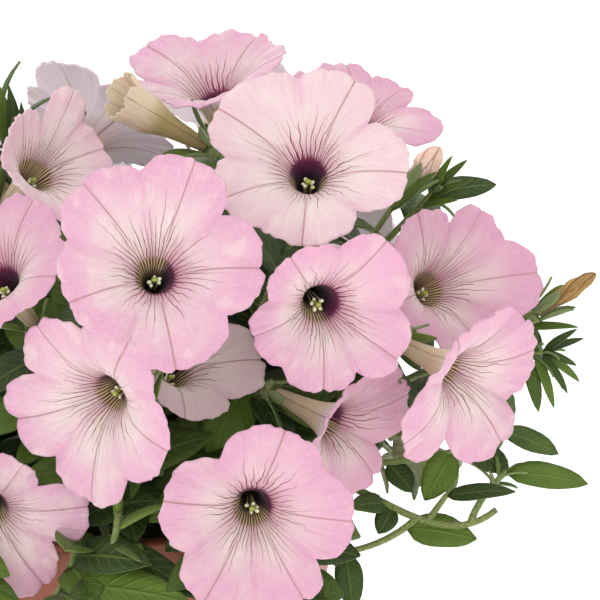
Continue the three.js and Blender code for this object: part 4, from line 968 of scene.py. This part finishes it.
finishes = dict(
    petal=petal_face("petal_pink", tone(213, 158, 182), tone(222, 182, 195), tone(234, 217, 208),
                     tone(218, 158, 186), tone(216, 136, 176)),
    petal_back=petal_back("petal_back", tone(240, 212, 228), tone(250, 238, 242), tone(212, 192, 156),
                          tone(164, 114, 112)),
    faded=petal_face("petal_faded", tone(222, 196, 172), tone(226, 204, 176), tone(228, 212, 180),
                     tone(180, 140, 110), tone(206, 170, 150)),
    faded_back=petal_back("faded_back", tone(222, 196, 168), tone(236, 218, 188), tone(178, 162, 108),
                          tone(140, 92, 74)),
    leaf=leaf_finish("leaf_green", tone(42, 62, 14), tone(86, 112, 32), tone(110, 130, 58),
                     tone(112, 130, 72)),
    young=leaf_finish("leaf_young", tone(64, 86, 34), tone(112, 136, 54), tone(138, 156, 86),
                      tone(126, 142, 92)),
    stem=stem_finish(),
    hair=plain_finish("hair_white", tone(226, 228, 208), tone(242, 244, 232), 300.0, 0.6, 0.0001),
    anther=plain_finish("anther_cream", tone(240, 238, 214), tone(222, 218, 160), 900.0, 0.7, 0.0002),
    stigma=plain_finish("stigma_green", tone(150, 164, 60), tone(178, 190, 84), 900.0, 0.35, 0.0001),
    pot=pot_finish(),
    soil=soil_finish(),
    perlite=plain_finish("perlite_white", tone(226, 222, 210), tone(200, 194, 180), 800.0, 0.9, 0.0004),
    tan=folded_finish("bud_tan_dry", tone(196, 158, 98), tone(150, 108, 58), tone(112, 74, 40)),
    peach=folded_finish("bud_peach_fold", tone(246, 216, 198), tone(238, 196, 176), tone(176, 112, 88)),
)

# ---- meshes ----------------------------------------------------------------------------------


def pick_nothing():
    if bpy.context.mode != "OBJECT":
        bpy.ops.object.mode_set(mode="OBJECT")
    bpy.ops.object.select_all(action="DESELECT")


def take(made):
    """The object becomes the one that operators act on."""
    pick_nothing()
    made.select_set(True)
    bpy.context.view_layer.objects.active = made


def started(name):
    """The primitive that was just added, with its name and its place in its mesh."""
    made = bpy.context.object
    made.name = name
    made.data.name = name
    bpy.ops.object.transform_apply(location=True, rotation=True, scale=True)
    return made


def edit_all():
    bpy.ops.object.mode_set(mode="EDIT")
    bpy.ops.mesh.select_all(action="SELECT")


def draw_out(rise, stretch, upright=1):
    """Extrudes what is selected along Z, in millimetres, and widens it."""
    bpy.ops.mesh.extrude_region_move(TRANSFORM_OT_translate={"value": (0, 0, rise * MM)})
    bpy.ops.transform.resize(value=(stretch, stretch, upright))


def close_up():
    """Fills the selected edge, turns all faces outwards and ends edit mode."""
    bpy.ops.mesh.edge_face_add()
    bpy.ops.mesh.select_all(action="SELECT")
    bpy.ops.mesh.normals_make_consistent(inside=False)
    bpy.ops.object.mode_set(mode="OBJECT")


def modify(made, kind, **settings):
    """Gives the object in hand a modifier and applies it."""
    modifier = made.modifiers.new(kind, kind)
    for name, setting in settings.items():
        setattr(modifier, name, setting)
    bpy.ops.object.modifier_apply(modifier=kind)


def finish_piece(made, slot, *nodes):
    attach(made, "root")
    if nodes:
        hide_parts(*nodes)


def corners_of(mesh):
    flat = np.empty(len(mesh.vertices) * 3)
    mesh.vertices.foreach_get("co", flat)
    return flat.reshape(-1, 3)


def set_corners(mesh, points):
    """Moves the corners of a mesh to points in millimetres."""
    mesh.vertices.foreach_set("co", (points * MM).ravel())


def set_uv(mesh, layer, uv):
    corner = np.empty(len(mesh.loops), int)
    mesh.loops.foreach_get("vertex_index", corner)
    layer.data.foreach_set("uv", uv[corner].ravel())


def set_numbers(mesh, name, values):
    mesh.attributes.new(name, "FLOAT", "POINT").data.foreach_set("value", values)


def pattern_of(made):
    """The corners and faces of a small shape that is used many times; the shape itself goes."""
    places, faces = corners_of(made.data), [list(face.vertices) for face in made.data.polygons]
    bpy.data.objects.remove(made)
    return places, faces


def blade_pattern(name, along, across):
    """A flat blade of two skins: x from -1 to 1 along it, y across it, z from 0 down to -1."""
    pick_nothing()
    bpy.ops.mesh.primitive_grid_add(x_subdivisions=along, y_subdivisions=across, size=2)
    made = started(name)
    modify(made, "SOLIDIFY", thickness=1, offset=-1)
    return pattern_of(made)


def units(rows):
    return rows / np.linalg.norm(rows, axis=1)[:, None]


class Heap:
    """Gathers the parts of one piece, and makes its mesh at once."""

    def __init__(self, name, *materials):
        self.name, self.materials = name, materials
        self.points, self.faces, self.kinds = [], [], []
        self.uv, self.tint, self.under = [], [], []
        self.count = 0

    def add(self, points, faces, material, uv=None, tint=0.5, under=None):
        total = len(points)
        self.points.append(points)
        self.faces += [[corner + self.count for corner in face] for face in faces]
        self.kinds += [self.materials.index(material)] * len(faces)
        self.uv.append(np.zeros((total, 2)) if uv is None else uv)
        self.tint.append(np.full(total, tint))
        self.under.append(np.zeros(total) if under is None else under)
        self.count += total

    def tube(self, rings, reach, material):
        """A closed tube through rings of corners. reach says how far along it each ring is."""
        rows, sides = len(rings), len(rings[0])
        faces = [[row * sides + k, row * sides + (k + 1) % sides, (row + 1) * sides + (k + 1) % sides,
                  (row + 1) * sides + k] for row in range(rows - 1) for k in range(sides)]
        faces.append(list(range(sides))[::-1])
        faces.append([(rows - 1) * sides + k for k in range(sides)])
        uv = np.stack([np.tile(np.arange(sides) / sides, rows), np.repeat(reach, sides)], 1)
        self.add(np.concatenate(rings), faces, material, uv)

    def sweep(self, path, radii, sides, material):
        """A closed tube along points, with a radius at each."""
        ahead = units(np.gradient(path, axis=0))
        side = np.cross(ahead[0], UP if abs(ahead[0][2]) < 0.9 else np.array([1.0, 0, 0]))
        angle = turns(sides)[:, None]
        rings = []
        for point, forward, radius in zip(path, ahead, radii):
            side = unit(side - forward * (side @ forward))
            other = np.cross(forward, side)
            rings.append(point + radius * (np.cos(angle) * side + np.sin(angle) * other))
        reach = np.concatenate([[0], np.cumsum(np.linalg.norm(np.diff(path, axis=0), axis=1))])
        self.tube(rings, reach, material)

    def make(self):
        mesh = bpy.data.meshes.new(self.name)
        mesh.from_pydata((np.concatenate(self.points) * MM).tolist(), [], self.faces)
        mesh.polygons.foreach_set("material_index", self.kinds)
        mesh.polygons.foreach_set("use_smooth", [True] * len(self.faces))
        set_uv(mesh, mesh.uv_layers.new(name="UVMap"), np.concatenate(self.uv))
        set_numbers(mesh, "tint", np.concatenate(self.tint))
        set_numbers(mesh, "under", np.concatenate(self.under))
        for material in self.materials:
            mesh.materials.append(finishes[material])
        made = bpy.data.objects.new(self.name, mesh)
        bpy.context.scene.collection.objects.link(made)
        return made


# ---- blooms ----------------------------------------------------------------------------------

AROUND = 150
LIMB_ROWS = 30
TUBE_ROWS = 12
# Waves of a bloom's limb: how many round it, and how high each is at the edge, in millimetres.
RUFFLE = [(7, 0.6), (13, 0.5), (23, 0.42), (41, 0.3)]
SWELL = [(2, 0.5), (3, 0.5)]
JAGS = [(11, 0.3), (19, 0.28), (37, 0.26), (61, 0.14)]
GROOVE_DEPTH = 0.5
GROOVE_WIDTH = 0.07
NICK_DEPTH = 0.9
NICK_WIDTH = 0.06
PLEATS = 45
PLEAT_DEPTH = 0.12
FOOT_RADIUS = NECK_RADIUS - 0.5
# How much paler the dark side of a throat is than that of the darkest.
PALE_THROAT = dict(bloom_04=0.3, bloom_08=0.5, bloom_09=0.5, bloom_12=0.75)
# How rosy a bloom is, from -1 to 1, partly painted light: some values darken blooms as painted shade
# and some lighten blooms that the lamps leave in shade; the others are drawn.
ROSE_AND_SHADE = dict(bloom_01=-0.1, bloom_02=-0.8, bloom_03=0.2, bloom_04=0.1, bloom_05=0.5, bloom_06=0.6,
            bloom_07=-0.9, bloom_08=1.0, bloom_09=0.5, bloom_10=0.9, bloom_11=0.7, bloom_12=-0.6,
            bloom_13=-1.0, bloom_15=0.8)
# The side of the throat with the dark eye, in degrees round the axis; the others are drawn.
DARK_SIDE = dict(bloom_02=90, bloom_03=320, bloom_04=100, bloom_05=20, bloom_06=60, bloom_08=60)
ROSE_STRAY = 0.7
DARK_STRAY = 80

STAMENS = 5
THREAD_RADIUS = 0.22
THREAD_FOOT = 20
PISTIL_RADIUS = 0.35
PISTIL_FOOT = 22
ANTHER_SHAPE = np.array([1.1, 0.85, 0.75])
STIGMA_SHAPE = np.array([1.2, 1.2, 0.9])


def waves(angle, seed, terms):
    """A sum of a few waves round the axis, with phases of the bloom's own."""
    total = 0 * angle
    for index, (count, size) in enumerate(terms):
        total = total + size * np.sin(count * angle + 2 * math.pi * draw(seed * 16 + index))
    return total


def bloom_surface(bloom, seed, u, v):
    """The inner skin of a bloom. u runs once round it; v is -1 at the foot of the tube, 0 at the
    throat and 1 at the edge."""
    place = -LOBES * u
    angle = petal_angle(bloom, place)
    share = np.clip(v, 0, 1)
    radius, height, aside = limb(bloom, place, share)
    size = bloom.get("petal", PETAL_LENGTH) / PETAL_LENGTH
    ruffle = share ** 3 * size * waves(angle, seed, RUFFLE)
    swell = share ** 1.5 * size * waves(angle, seed + 40, SWELL)
    groove = -GROOVE_DEPTH * np.clip(share * 4, 0, 1) * np.exp(-(aside / GROOVE_WIDTH) ** 2)
    outline = share ** 2 * size * (waves(angle, seed + 80, JAGS)
                                   - NICK_DEPTH * np.exp(-(aside / NICK_WIDTH) ** 2))
    pleat = PLEAT_DEPTH * np.sin(angle * PLEATS) * np.clip(share * 5, 0, 1) * (1 - share)
    height = height + ruffle + swell + groove + pleat
    along = 1 + np.clip(v, -1, 0)
    tube = FOOT_RADIUS + (THROAT_RADIUS - FOOT_RADIUS) * (0.55 * along + 0.45 * along ** 5)
    tube = tube * (1 + 0.03 * np.cos(LOBES * angle + 1) * along)
    radius = np.where(v < 0, tube, radius + outline)
    height = np.where(v < 0, -TUBE_LENGTH * (1 - along), height)
    radius = np.where(v <= -1, 0, radius)
    return around_axis(*stand(bloom), angle, radius, height), angle


def fine_bloom(name, bloom, seed, sheet):
    """A copy of the flat sheet, rolled into a trumpet and given a second skin."""
    made = sheet.copy()
    made.data = sheet.data.copy()
    made.name = "fine_" + name
    made.data.name = made.name
    bpy.context.scene.collection.objects.link(made)
    mesh = made.data
    flat = (corners_of(mesh) + 1) / 2
    u, row = flat[:, 0], np.round(flat[:, 1] * (LIMB_ROWS + TUBE_ROWS))
    v = np.where(row < TUBE_ROWS, row / TUBE_ROWS - 1, (row - TUBE_ROWS) / LIMB_ROWS)
    points, angle = bloom_surface(bloom, seed, u, v)
    set_corners(mesh, points)
    # the petals of each bloom start at another whole number, so that no two have the same veins
    set_uv(mesh, mesh.uv_layers[0], np.stack([LOBES * (seed * 2 + 1 - u), v], 1))
    dark = DARK_SIDE.get(name, 90 + DARK_STRAY * (draw(seed * 16 + 9) - 0.5))
    low = 0.5 - 0.5 * np.cos(angle - math.radians(dark))
    set_numbers(mesh, "low", low + (1 - low) * PALE_THROAT.get(name, 0))
    # a bloom's pinkness; the listed values also hold painted shade and painted light
    drawn = ROSE_STRAY * (2 * draw(seed * 16 + 11) - 1)
    set_numbers(mesh, "rose_and_shade", np.full(len(low), ROSE_AND_SHADE.get(name, drawn)))
    mesh.materials.clear()
    kind = "faded" if bloom.get("faded") else "petal"
    for finish in (kind, kind + "_back"):
        mesh.materials.append(finishes[finish])
    take(made)
    edit_all()
    bpy.ops.mesh.remove_doubles(threshold=0.00001)
    bpy.ops.object.mode_set(mode="OBJECT")
    bpy.ops.object.shade_smooth()
    modify(made, "SOLIDIFY", thickness=PETAL_THICKNESS * MM, offset=-1, material_offset=1)
    return made


def stamens(name, bloom, seed):
    """Five anthers on their threads and a green stigma, in the mouth of the throat."""
    heap = Heap("stamens_" + name[-2:], "anther", "stigma")
    at, axis = stand(bloom)
    across, over = square(axis)
    for index, turn in enumerate(turns(STAMENS)):
        angle = turn + draw(seed + index)
        out = across * math.cos(angle) + over * math.sin(angle)
        top = (at + out * (1.5 + 0.5 * draw(seed + index + 9)) - over * 1.2
               - axis * (2.6 + 2.6 * draw(seed + 20 + index)))
        foot = at - axis * THREAD_FOOT + out * 0.6
        heap.sweep(np.linspace(foot, top, 6), np.full(6, THREAD_RADIUS), 6, "anther")
        stretch = ANTHER_SHAPE * (0.8 + 0.3 * draw(seed + 31 + index))
        turned = (bead_places * stretch) @ np.stack([unit(axis + out * 0.5), out, np.cross(axis, out)])
        heap.add(top + turned, bead_faces, "anther")
    top = at - over * 1.0 - axis * 2.0
    foot = at - axis * PISTIL_FOOT
    heap.sweep(np.linspace(foot, top, 6), np.full(6, PISTIL_RADIUS), 6, "stigma")
    heap.add(top + bead_places * STIGMA_SHAPE, bead_faces, "stigma")
    return heap.make()


# ---- leaves, stems and hairs -----------------------------------------------------------------

PATH_STEP = 3.5
STEM_SIDES = 10
HAIR_WIDTH = 0.055
HAIR_ROOT = 0.2
HAIR_LENGTH = 1.7
HAIRS_PER_MM = 2.6
CALYX_HAIRS = 90
CALYX_HAIR_LENGTH = 1.5
# The calyx's outline, as heights above its seat and radii.
CALYX_OUTLINE = [(-5.2, 1.5), (-4.4, 2.5), (-3, 3.2), (-1.2, 3.7), (0.4, 4.0), (0.6, 3.5), (-0.6, 3.0)]
CALYX_SIDES = 20
SEPAL_WIDTH = 4.2
SEPAL_ARCH = 0.35
SEPAL_BELLY = 1.15
SEPAL_THICKNESS = 0.5
SEPAL_STRAY = 0.12
BUD_FLARE = 0.14
VEIN_DEPTH = 0.35
VEIN_WIDTH = 0.22
RIPPLES = 11
YOUNG_THICKNESS = 0.6
STEM_TAPER = (STEM_RADIUS * 1.12, 1.25)
BRANCH_TAPER = (BRANCH_RADIUS * 1.05, 1.1)


def add_leaf(heap, leaf, shape, material, seed, thickness=LEAF_THICKNESS, wave=0.7):
    places, faces = shape
    share, side = (places[:, 0] + 1) / 2, places[:, 1]
    lower = places[:, 2] < -0.5
    ripple = wave * leaf["width"] / LEAF_WIDTH * side ** 2 * np.sin(share * RIPPLES
                                                                   + 6.28 * draw(seed))
    rib = VEIN_DEPTH * np.exp(-(side / VEIN_WIDTH) ** 2) * lower
    points = leaf_points(leaf, share, side, places[:, 2] * thickness + ripple - rib, least=0.05)
    heap.add(points, faces, material, np.stack([share, side], 1), draw(seed + 5), lower * 1.0)


def add_hairs(heap, points, outward, length, seed):
    """Thin three-sided spikes that stand on the given points."""
    chance = np.random.default_rng(seed)
    count = len(points)
    lean = units(outward + chance.normal(0, 0.28, (count, 3)))
    across = units(np.cross(lean, chance.normal(0, 1, (count, 3))))
    other = np.cross(lean, across)
    size = length * chance.uniform(0.6, 1.15, count)[:, None]
    base = points - outward * HAIR_ROOT
    corners = np.stack([base + across * HAIR_WIDTH,
                        base + (other * 0.87 - across * 0.5) * HAIR_WIDTH,
                        base - (other * 0.87 + across * 0.5) * HAIR_WIDTH, points + lean * size], 1)
    first = np.arange(count) * 4
    faces = np.concatenate([np.stack([first + a, first + b, first + c], 1)
                            for a, b, c in ((0, 1, 3), (1, 2, 3), (2, 0, 3), (0, 2, 1))])
    heap.add(corners.reshape(-1, 3), faces.tolist(), "hair")


def stem_hairs(heap, path, radii, seed):
    chance = np.random.default_rng(seed)
    reach = np.linalg.norm(np.diff(path, axis=0), axis=1).sum()
    count = int(reach * HAIRS_PER_MM)
    place = chance.uniform(0, len(path) - 1.001, count)
    low = place.astype(int)
    part = (place - low)[:, None]
    centre = path[low] * (1 - part) + path[low + 1] * part
    ahead = units(path[low + 1] - path[low])
    outward = units(np.cross(ahead, chance.normal(0, 1, (count, 3))))
    add_hairs(heap, centre + outward * radii[low][:, None], outward, HAIR_LENGTH, seed + 1)


def add_calyx(heap, tip, seed):
    """The green cup of a bloom with five spoon-shaped sepals."""
    axis = tip["axis"]
    seat = tip["end"] + axis * CALYX_SEAT
    across, over = square(axis)
    angle = turns(CALYX_SIDES)[:, None]
    ring = np.cos(angle) * across + np.sin(angle) * over
    heights, radii = zip(*CALYX_OUTLINE)
    heap.tube([seat + axis * height + radius * ring for height, radius in CALYX_OUTLINE], heights,
              "stem")
    for lobe in range(LOBES):
        angle = (2 * lobe + 0.5) / 10 * 2 * math.pi
        out = across * math.cos(angle) + over * math.sin(angle)
        flare = BUD_FLARE if tip["name"] in BUDS else SEPAL_FLARE
        flare += SEPAL_STRAY * (draw(seed + lobe) - 0.5)
        along = unit(axis * math.cos(flare) + out * math.sin(flare))
        face = unit(axis * math.sin(flare + 0.2) - out * math.cos(flare + 0.2))
        face = unit(face - along * (face @ along))
        sepal = dict(root=seat + out * CALYX_RADIUS - axis * 0.6, along=along, face=face,
                     length=SEPAL_LENGTH * (0.92 + 0.2 * draw(seed + 7 + lobe)), width=SEPAL_WIDTH,
                     arch=SEPAL_ARCH, belly=SEPAL_BELLY)
        add_leaf(heap, sepal, narrow, "young", seed + lobe, SEPAL_THICKNESS, 0.2)
    chance = np.random.default_rng(seed)
    turn = chance.uniform(0, 2 * math.pi, CALYX_HAIRS)[:, None]
    rise = chance.uniform(-4.6, 0.2, CALYX_HAIRS)
    out = np.cos(turn) * across + np.sin(turn) * over
    wide = np.interp(rise, heights[:5], radii[:5])
    add_hairs(heap, seat + axis * rise[:, None] + out * wide[:, None], out, CALYX_HAIR_LENGTH, seed + 3)


def stem_path(curve, foot):
    points = curve.points(np.linspace(0, 1, max(12, int(curve.length() / PATH_STEP))))
    if foot:
        points = np.concatenate([points[:1] - UP * STEM_SINK, points[:1] - UP * 5, points])
    return points


# Shoots that get no more leaves than the solids have.
BARE = ("shoot_trailing", "shoot_top", "shoot_right")
FILLING_TRIES = 6
FILLING_BELLY = 0.85
FILLING_STALK = 0.14


def filling(stem):
    """More leaves than the solids have, to close the gaps between the blooms."""
    found = []
    for index, (tip, curve) in enumerate(zip(stem["tips"], stem["curves"])):
        length = curve.length()
        # the leaves are thicker over the rim: how far apart, and how much of one others may fill
        step, crowd = (5, 1.1) if tip["name"].startswith("rim") else (6, 0.7)
        found += [leaf_to(curve, *leaf) for leaf in CURTAIN.get(tip["name"], [])]
        for place in range(7, int(length * 0.88) - 6, step):
            number = stem["owner"] * 977 + index * 131 + place
            for attempt in range(FILLING_TRIES):
                size = (0.95 - 0.3 * place / length) * (0.75 + 0.5 * draw(number)) * (1 - 0.1 * attempt)
                leaf = leaf_at(curve, place / length, 6.28 * draw(number + attempt * 7 + 1),
                               math.radians(40 + 40 * draw(number + attempt * 5 + 2)),
                               LEAF_LENGTH * size, LEAF_WIDTH * size, 0.5 + 0.7 * draw(number + 3),
                               FILLING_BELLY)
                points, outer = blade_points(leaf, FILLING_STALK), blade_points(leaf, BLADE_START)
                if (flower_room.hits(points, 0) + view_room.hits(points, 0) == 0
                        and blade_room.hits(outer, 0) < crowd * len(outer)):
                    blade_room.mark(outer, stem["owner"])
                    found.append(leaf)
                    break
    return found


def fine_stem(stem):
    """A stem with its branches, calyxes, leaves and hairs."""
    heap = Heap("fine_" + stem["name"], "stem", "leaf", "young", "hair")
    owner = stem["owner"]
    for index, curve in enumerate(stem["curves"]):
        path = stem_path(curve, index == 0)
        radii = np.linspace(*(BRANCH_TAPER if index else STEM_TAPER), len(path))
        heap.sweep(path, radii, STEM_SIDES, "stem")
        shown = path[2:] if index == 0 else path
        stem_hairs(heap, shown, radii[-len(shown):], owner * 97 + index * 31)
    for tip in stem["tips"]:
        if tip["name"] not in SPRAYS:
            add_calyx(heap, tip, owner * 53 + tip["mark"] * 7)
    extra = [] if stem["name"] in BARE else filling(stem)
    for number, leaf in enumerate(stem["leaves"] + extra):
        add_leaf(heap, leaf, broad, "leaf", owner * 211 + number * 3)
    for number, leaf in enumerate(stem["young"]):
        add_leaf(heap, leaf, narrow, "young", owner * 389 + number * 3, YOUNG_THICKNESS, 0.15)
    return heap.make()


# ---- pot, soil and buds ----------------------------------------------------------------------

POT_SIDES = 128
POT_FOOT = 3
LIP_ROUND = 1.2
SEAM_HEIGHT = 28
SEAM_DEPTH = 0.5
EDGE_ROUND = 0.6
SOIL_CELLS = 90
SOIL_LUMPS = (0.05, 1.6)  # how many to a millimetre, and how high
SOIL_GRAINS = (0.28, 1.2)
SOIL_FALL = 1.2
CRUMBS = 900
CRUMBS_TO_A_GRAIN = 11
CRUMB_REACH = 88
# A bud's outline: shares of its length, and of its radius there.
BUD_SHARES = (0, 0.06, 0.3, 0.62, 0.86, 0.97, 1)
BUD_WIDTHS = (0, 0.55, 0.66, 1, 0.72, 0.3, 0)
BUD_CRUMPLE = 0.12


def fine_pot():
    """The pot's outline is drawn upwards from its flat underside, over the lip and down inside."""
    under = POT_HEIGHT - POT_LIP_HEIGHT
    lip = POT_MOUTH_RADIUS + POT_LIP_OUT
    outline = [
        (POT_BASE_RADIUS - POT_FOOT, 0), (POT_BASE_RADIUS, POT_FOOT),
        (pot_radius(SEAM_HEIGHT), SEAM_HEIGHT),
        (pot_radius(SEAM_HEIGHT) - SEAM_DEPTH, SEAM_HEIGHT + 0.6),
        (pot_radius(SEAM_HEIGHT + 2) - SEAM_DEPTH, SEAM_HEIGHT + 2),
        (pot_radius(SEAM_HEIGHT + 2.6), SEAM_HEIGHT + 2.6),
        (pot_radius(under), under), (pot_radius(under) + POT_LIP_OUT, under),
        (lip, POT_HEIGHT - LIP_ROUND), (lip - LIP_ROUND, POT_HEIGHT),
        (POT_MOUTH_RADIUS - POT_WALL, POT_HEIGHT), (pot_radius(POT_WALL) - POT_WALL, POT_WALL),
    ]
    pick_nothing()
    bpy.ops.mesh.primitive_circle_add(vertices=POT_SIDES, radius=outline[0][0] * MM, fill_type="NGON")
    made = started("fine_pot")
    edit_all()
    for (radius, height), (wider, higher) in zip(outline, outline[1:]):
        draw_out(higher - height, wider / radius)
    bpy.ops.mesh.select_all(action="DESELECT")
    bpy.ops.mesh.select_non_manifold()
    close_up()
    for angle in turns(DRAIN_COUNT):
        pick_nothing()
        bpy.ops.mesh.primitive_cylinder_add(
            vertices=32, radius=DRAIN_RADIUS * MM, depth=4 * POT_WALL * MM,
            location=(DRAIN_RING * MM * math.cos(angle), DRAIN_RING * MM * math.sin(angle), 0))
        drill = bpy.context.object
        take(made)
        modify(made, "BOOLEAN", operation="DIFFERENCE", object=drill, solver="EXACT")
        bpy.data.objects.remove(drill)
    modify(made, "BEVEL", width=EDGE_ROUND * MM, segments=2, limit_method="ANGLE",
           angle_limit=math.radians(30))
    bpy.ops.object.shade_smooth_by_angle(angle=math.radians(35))
    made.data.materials.append(finishes["pot"])
    return made


def soil_height(x, y):
    """The crumbly top of the soil, in millimetres, a little lower towards the wall."""
    lumps, crumbs = (noise.noise(Vector((x * often, y * often, layer))) * high
                     for (often, high), layer in ((SOIL_LUMPS, 0), (SOIL_GRAINS, 4)))
    return SOIL_TOP - SOIL_FALL * (x * x + y * y) / 8500 + lumps + crumbs - 0.8


def fine_soil():
    """A flat sheet made round and crumbly, and drawn down to the floor of the pot."""
    bottom = POT_WALL + SEAT_GAP
    inner = pot_radius(SOIL_TOP) - POT_WALL - SEAT_GAP - 0.4
    pick_nothing()
    bpy.ops.mesh.primitive_grid_add(x_subdivisions=SOIL_CELLS, y_subdivisions=SOIL_CELLS, size=2)
    made = started("fine_soil")
    flat = corners_of(made.data)
    x = flat[:, 0] * np.sqrt(1 - flat[:, 1] ** 2 / 2) * inner
    y = flat[:, 1] * np.sqrt(1 - flat[:, 0] ** 2 / 2) * inner
    set_corners(made.data, np.stack([x, y, [soil_height(a, b) for a, b in zip(x, y)]], 1))
    edit_all()
    bpy.ops.mesh.region_to_loop()
    draw_out(bottom - SOIL_TOP, (pot_radius(bottom) - POT_WALL - SEAT_GAP) / inner, 0)
    close_up()
    bpy.ops.object.shade_smooth()
    made.data.materials.append(finishes["soil"])
    return made


def soil_crumbs():
    """Loose crumbs of peat and white grains on the soil."""
    pick_nothing()
    bpy.ops.mesh.primitive_ico_sphere_add(subdivisions=1, radius=1)
    places, faces = pattern_of(started("crumb"))
    chance = np.random.default_rng(5)
    heap = Heap("soil_crumbs", "soil", "perlite")
    for index in range(CRUMBS):
        radius = CRUMB_REACH * math.sqrt(chance.uniform(0, 1))
        angle = chance.uniform(0, 2 * math.pi)
        x, y = radius * math.cos(angle), radius * math.sin(angle)
        white = index % CRUMBS_TO_A_GRAIN == 0
        size = chance.uniform(0.6, 1.5) if white else chance.uniform(0.7, 2.1)
        shape = places * size * chance.uniform(0.6, 1.2, 3) * chance.uniform(0.8, 1.2, (len(places), 1))
        heap.add(np.array([x, y, soil_height(x, y) + 0.2]) + shape, faces,
                 "perlite" if white else "soil")
    return heap.make()


def fine_bud(name, material, folds, depth, twist):
    """A ball drawn out along the bud's axis, with twisted folds."""
    spec = BUDS[name]
    pick_nothing()
    bpy.ops.mesh.primitive_uv_sphere_add(segments=60, ring_count=36, radius=1)
    made = started("fine_" + name)
    mesh = made.data
    flat = corners_of(mesh)
    angle = np.arctan2(flat[:, 1], flat[:, 0])
    share = np.arccos(np.clip(-flat[:, 2], -1, 1)) / math.pi
    wide = np.interp(share, BUD_SHARES, BUD_WIDTHS) * spec["radius"]
    turned = angle + twist * share
    crumple = np.array([noise.noise(Vector((math.cos(a) * 2, math.sin(a) * 2, s * 7))) for a, s
                        in zip(turned, share)])
    wide = wide * (1 - depth * np.abs(np.sin(folds / 2 * turned)) ** 0.5 * np.clip(share * 3, 0, 1)
                   + 0.5 * depth + BUD_CRUMPLE * crumple)
    at, axis = stand(spec)
    seat = at + axis * (CALYX_SEAT + SEAT_GAP)
    set_corners(mesh, around_axis(seat, axis, angle, wide, share * spec["length"]))
    set_uv(mesh, mesh.uv_layers[0], np.stack([angle / (2 * math.pi), share], 1))
    mesh.materials.append(finishes[material])
    take(made)
    bpy.ops.object.shade_smooth()
    return made


# ---- the plant -------------------------------------------------------------------------------

broad = blade_pattern("leaf_shape", 8, 4)
narrow = blade_pattern("young_leaf_shape", 6, 2)
pick_nothing()
bpy.ops.mesh.primitive_uv_sphere_add(segments=8, ring_count=6, radius=1)
bead_places, bead_faces = pattern_of(started("anther_shape"))

grown = grow()

pick_nothing()
bpy.ops.mesh.primitive_grid_add(x_subdivisions=AROUND, y_subdivisions=LIMB_ROWS + TUBE_ROWS, size=2)
sheet = started("petal_sheet")
for number, (bloom_name, bloom) in enumerate(BLOOMS.items(), 1):
    slot = "faded" if bloom.get("faded") else "petal"
    finish_piece(fine_bloom(bloom_name, bloom, number, sheet), slot, bloom_name)
    finish_piece(stamens(bloom_name, bloom, number * 50), slot)
bpy.data.objects.remove(sheet)

for stem in grown:
    finish_piece(fine_stem(stem), "leaf", stem["name"])

finish_piece(fine_pot(), "terracotta", "pot")
finish_piece(fine_soil(), "soil", "soil")
finish_piece(soil_crumbs(), "soil")
finish_piece(fine_bud("bud_tan", "tan", 6, 0.3, 1.6), "tan", "bud_tan")
finish_piece(fine_bud("bud_peach", "peach", 5, 0.34, 0.9), "peach", "bud_peach")

# ---- floor, light and camera -----------------------------------------------------------------

WHITE = (1, 1, 1, 1)
FLOOR_SIZE = 12
FLOOR_GLOW = 0.35
SKY_STRENGTH = 0.85
PLANT_MIDDLE = Vector((0.0, 0.0, 0.2))
# Square lamps that look at the middle of the plant: place and size in metres, and power.
LAMPS = dict(
    key_light=((-0.2, -2.0, 1.2), 1.4, 7),
    fill_light=((-1.3, -1.3, 1.3), 1.2, 4),
    back_light=((-0.6, 1.6, 1.1), 1.2, 7),
    low_light=((0.7, -1.7, 0.15), 0.8, 4),
    top_light=((0.0, 0.3, 2.0), 1.5, 8),
)
CAMERA_DROP = math.radians(12)
CAMERA_DISTANCE = 1.2
CAMERA_TARGET = Vector((0.076, 0.0, 0.207))
CAMERA_LENS = 180
CAMERA_SENSOR = 36


def placed(name, data, place):
    made = bpy.data.objects.new(name, data)
    made.location = place
    bpy.context.scene.collection.objects.link(made)
    return made


pick_nothing()
bpy.ops.mesh.primitive_plane_add(size=FLOOR_SIZE)
floor = started("floor")
floor.data.materials.append(Finish("floor_white", tone(250, 250, 250), 0.8, Specular_IOR_Level=0.1,
                                   Emission_Strength=FLOOR_GLOW, Emission_Color=WHITE).done())

world = bpy.data.worlds.new("studio")
bpy.context.scene.world = world
world.use_nodes = True
sky = world.node_tree.nodes["Background"]
sky.inputs["Color"].default_value = WHITE
sky.inputs["Strength"].default_value = SKY_STRENGTH

for name, (place, size, power) in LAMPS.items():
    lamp = bpy.data.lights.new(name, "AREA")
    lamp.size, lamp.energy = size, power
    aim = PLANT_MIDDLE - Vector(place)
    placed(name, lamp, place).rotation_euler = aim.to_track_quat("-Z", "Y").to_euler()

away = Vector((0, -math.cos(CAMERA_DROP), math.sin(CAMERA_DROP)))
camera = placed("camera", bpy.data.cameras.new("camera"), CAMERA_TARGET + CAMERA_DISTANCE * away)
camera.data.lens, camera.data.sensor_width = CAMERA_LENS, CAMERA_SENSOR
camera.rotation_euler = (math.pi / 2 - CAMERA_DROP, 0, 0)
bpy.context.scene.camera = camera
bpy.context.scene.view_settings.view_transform = "Standard"

bpy.context.view_layer.update()
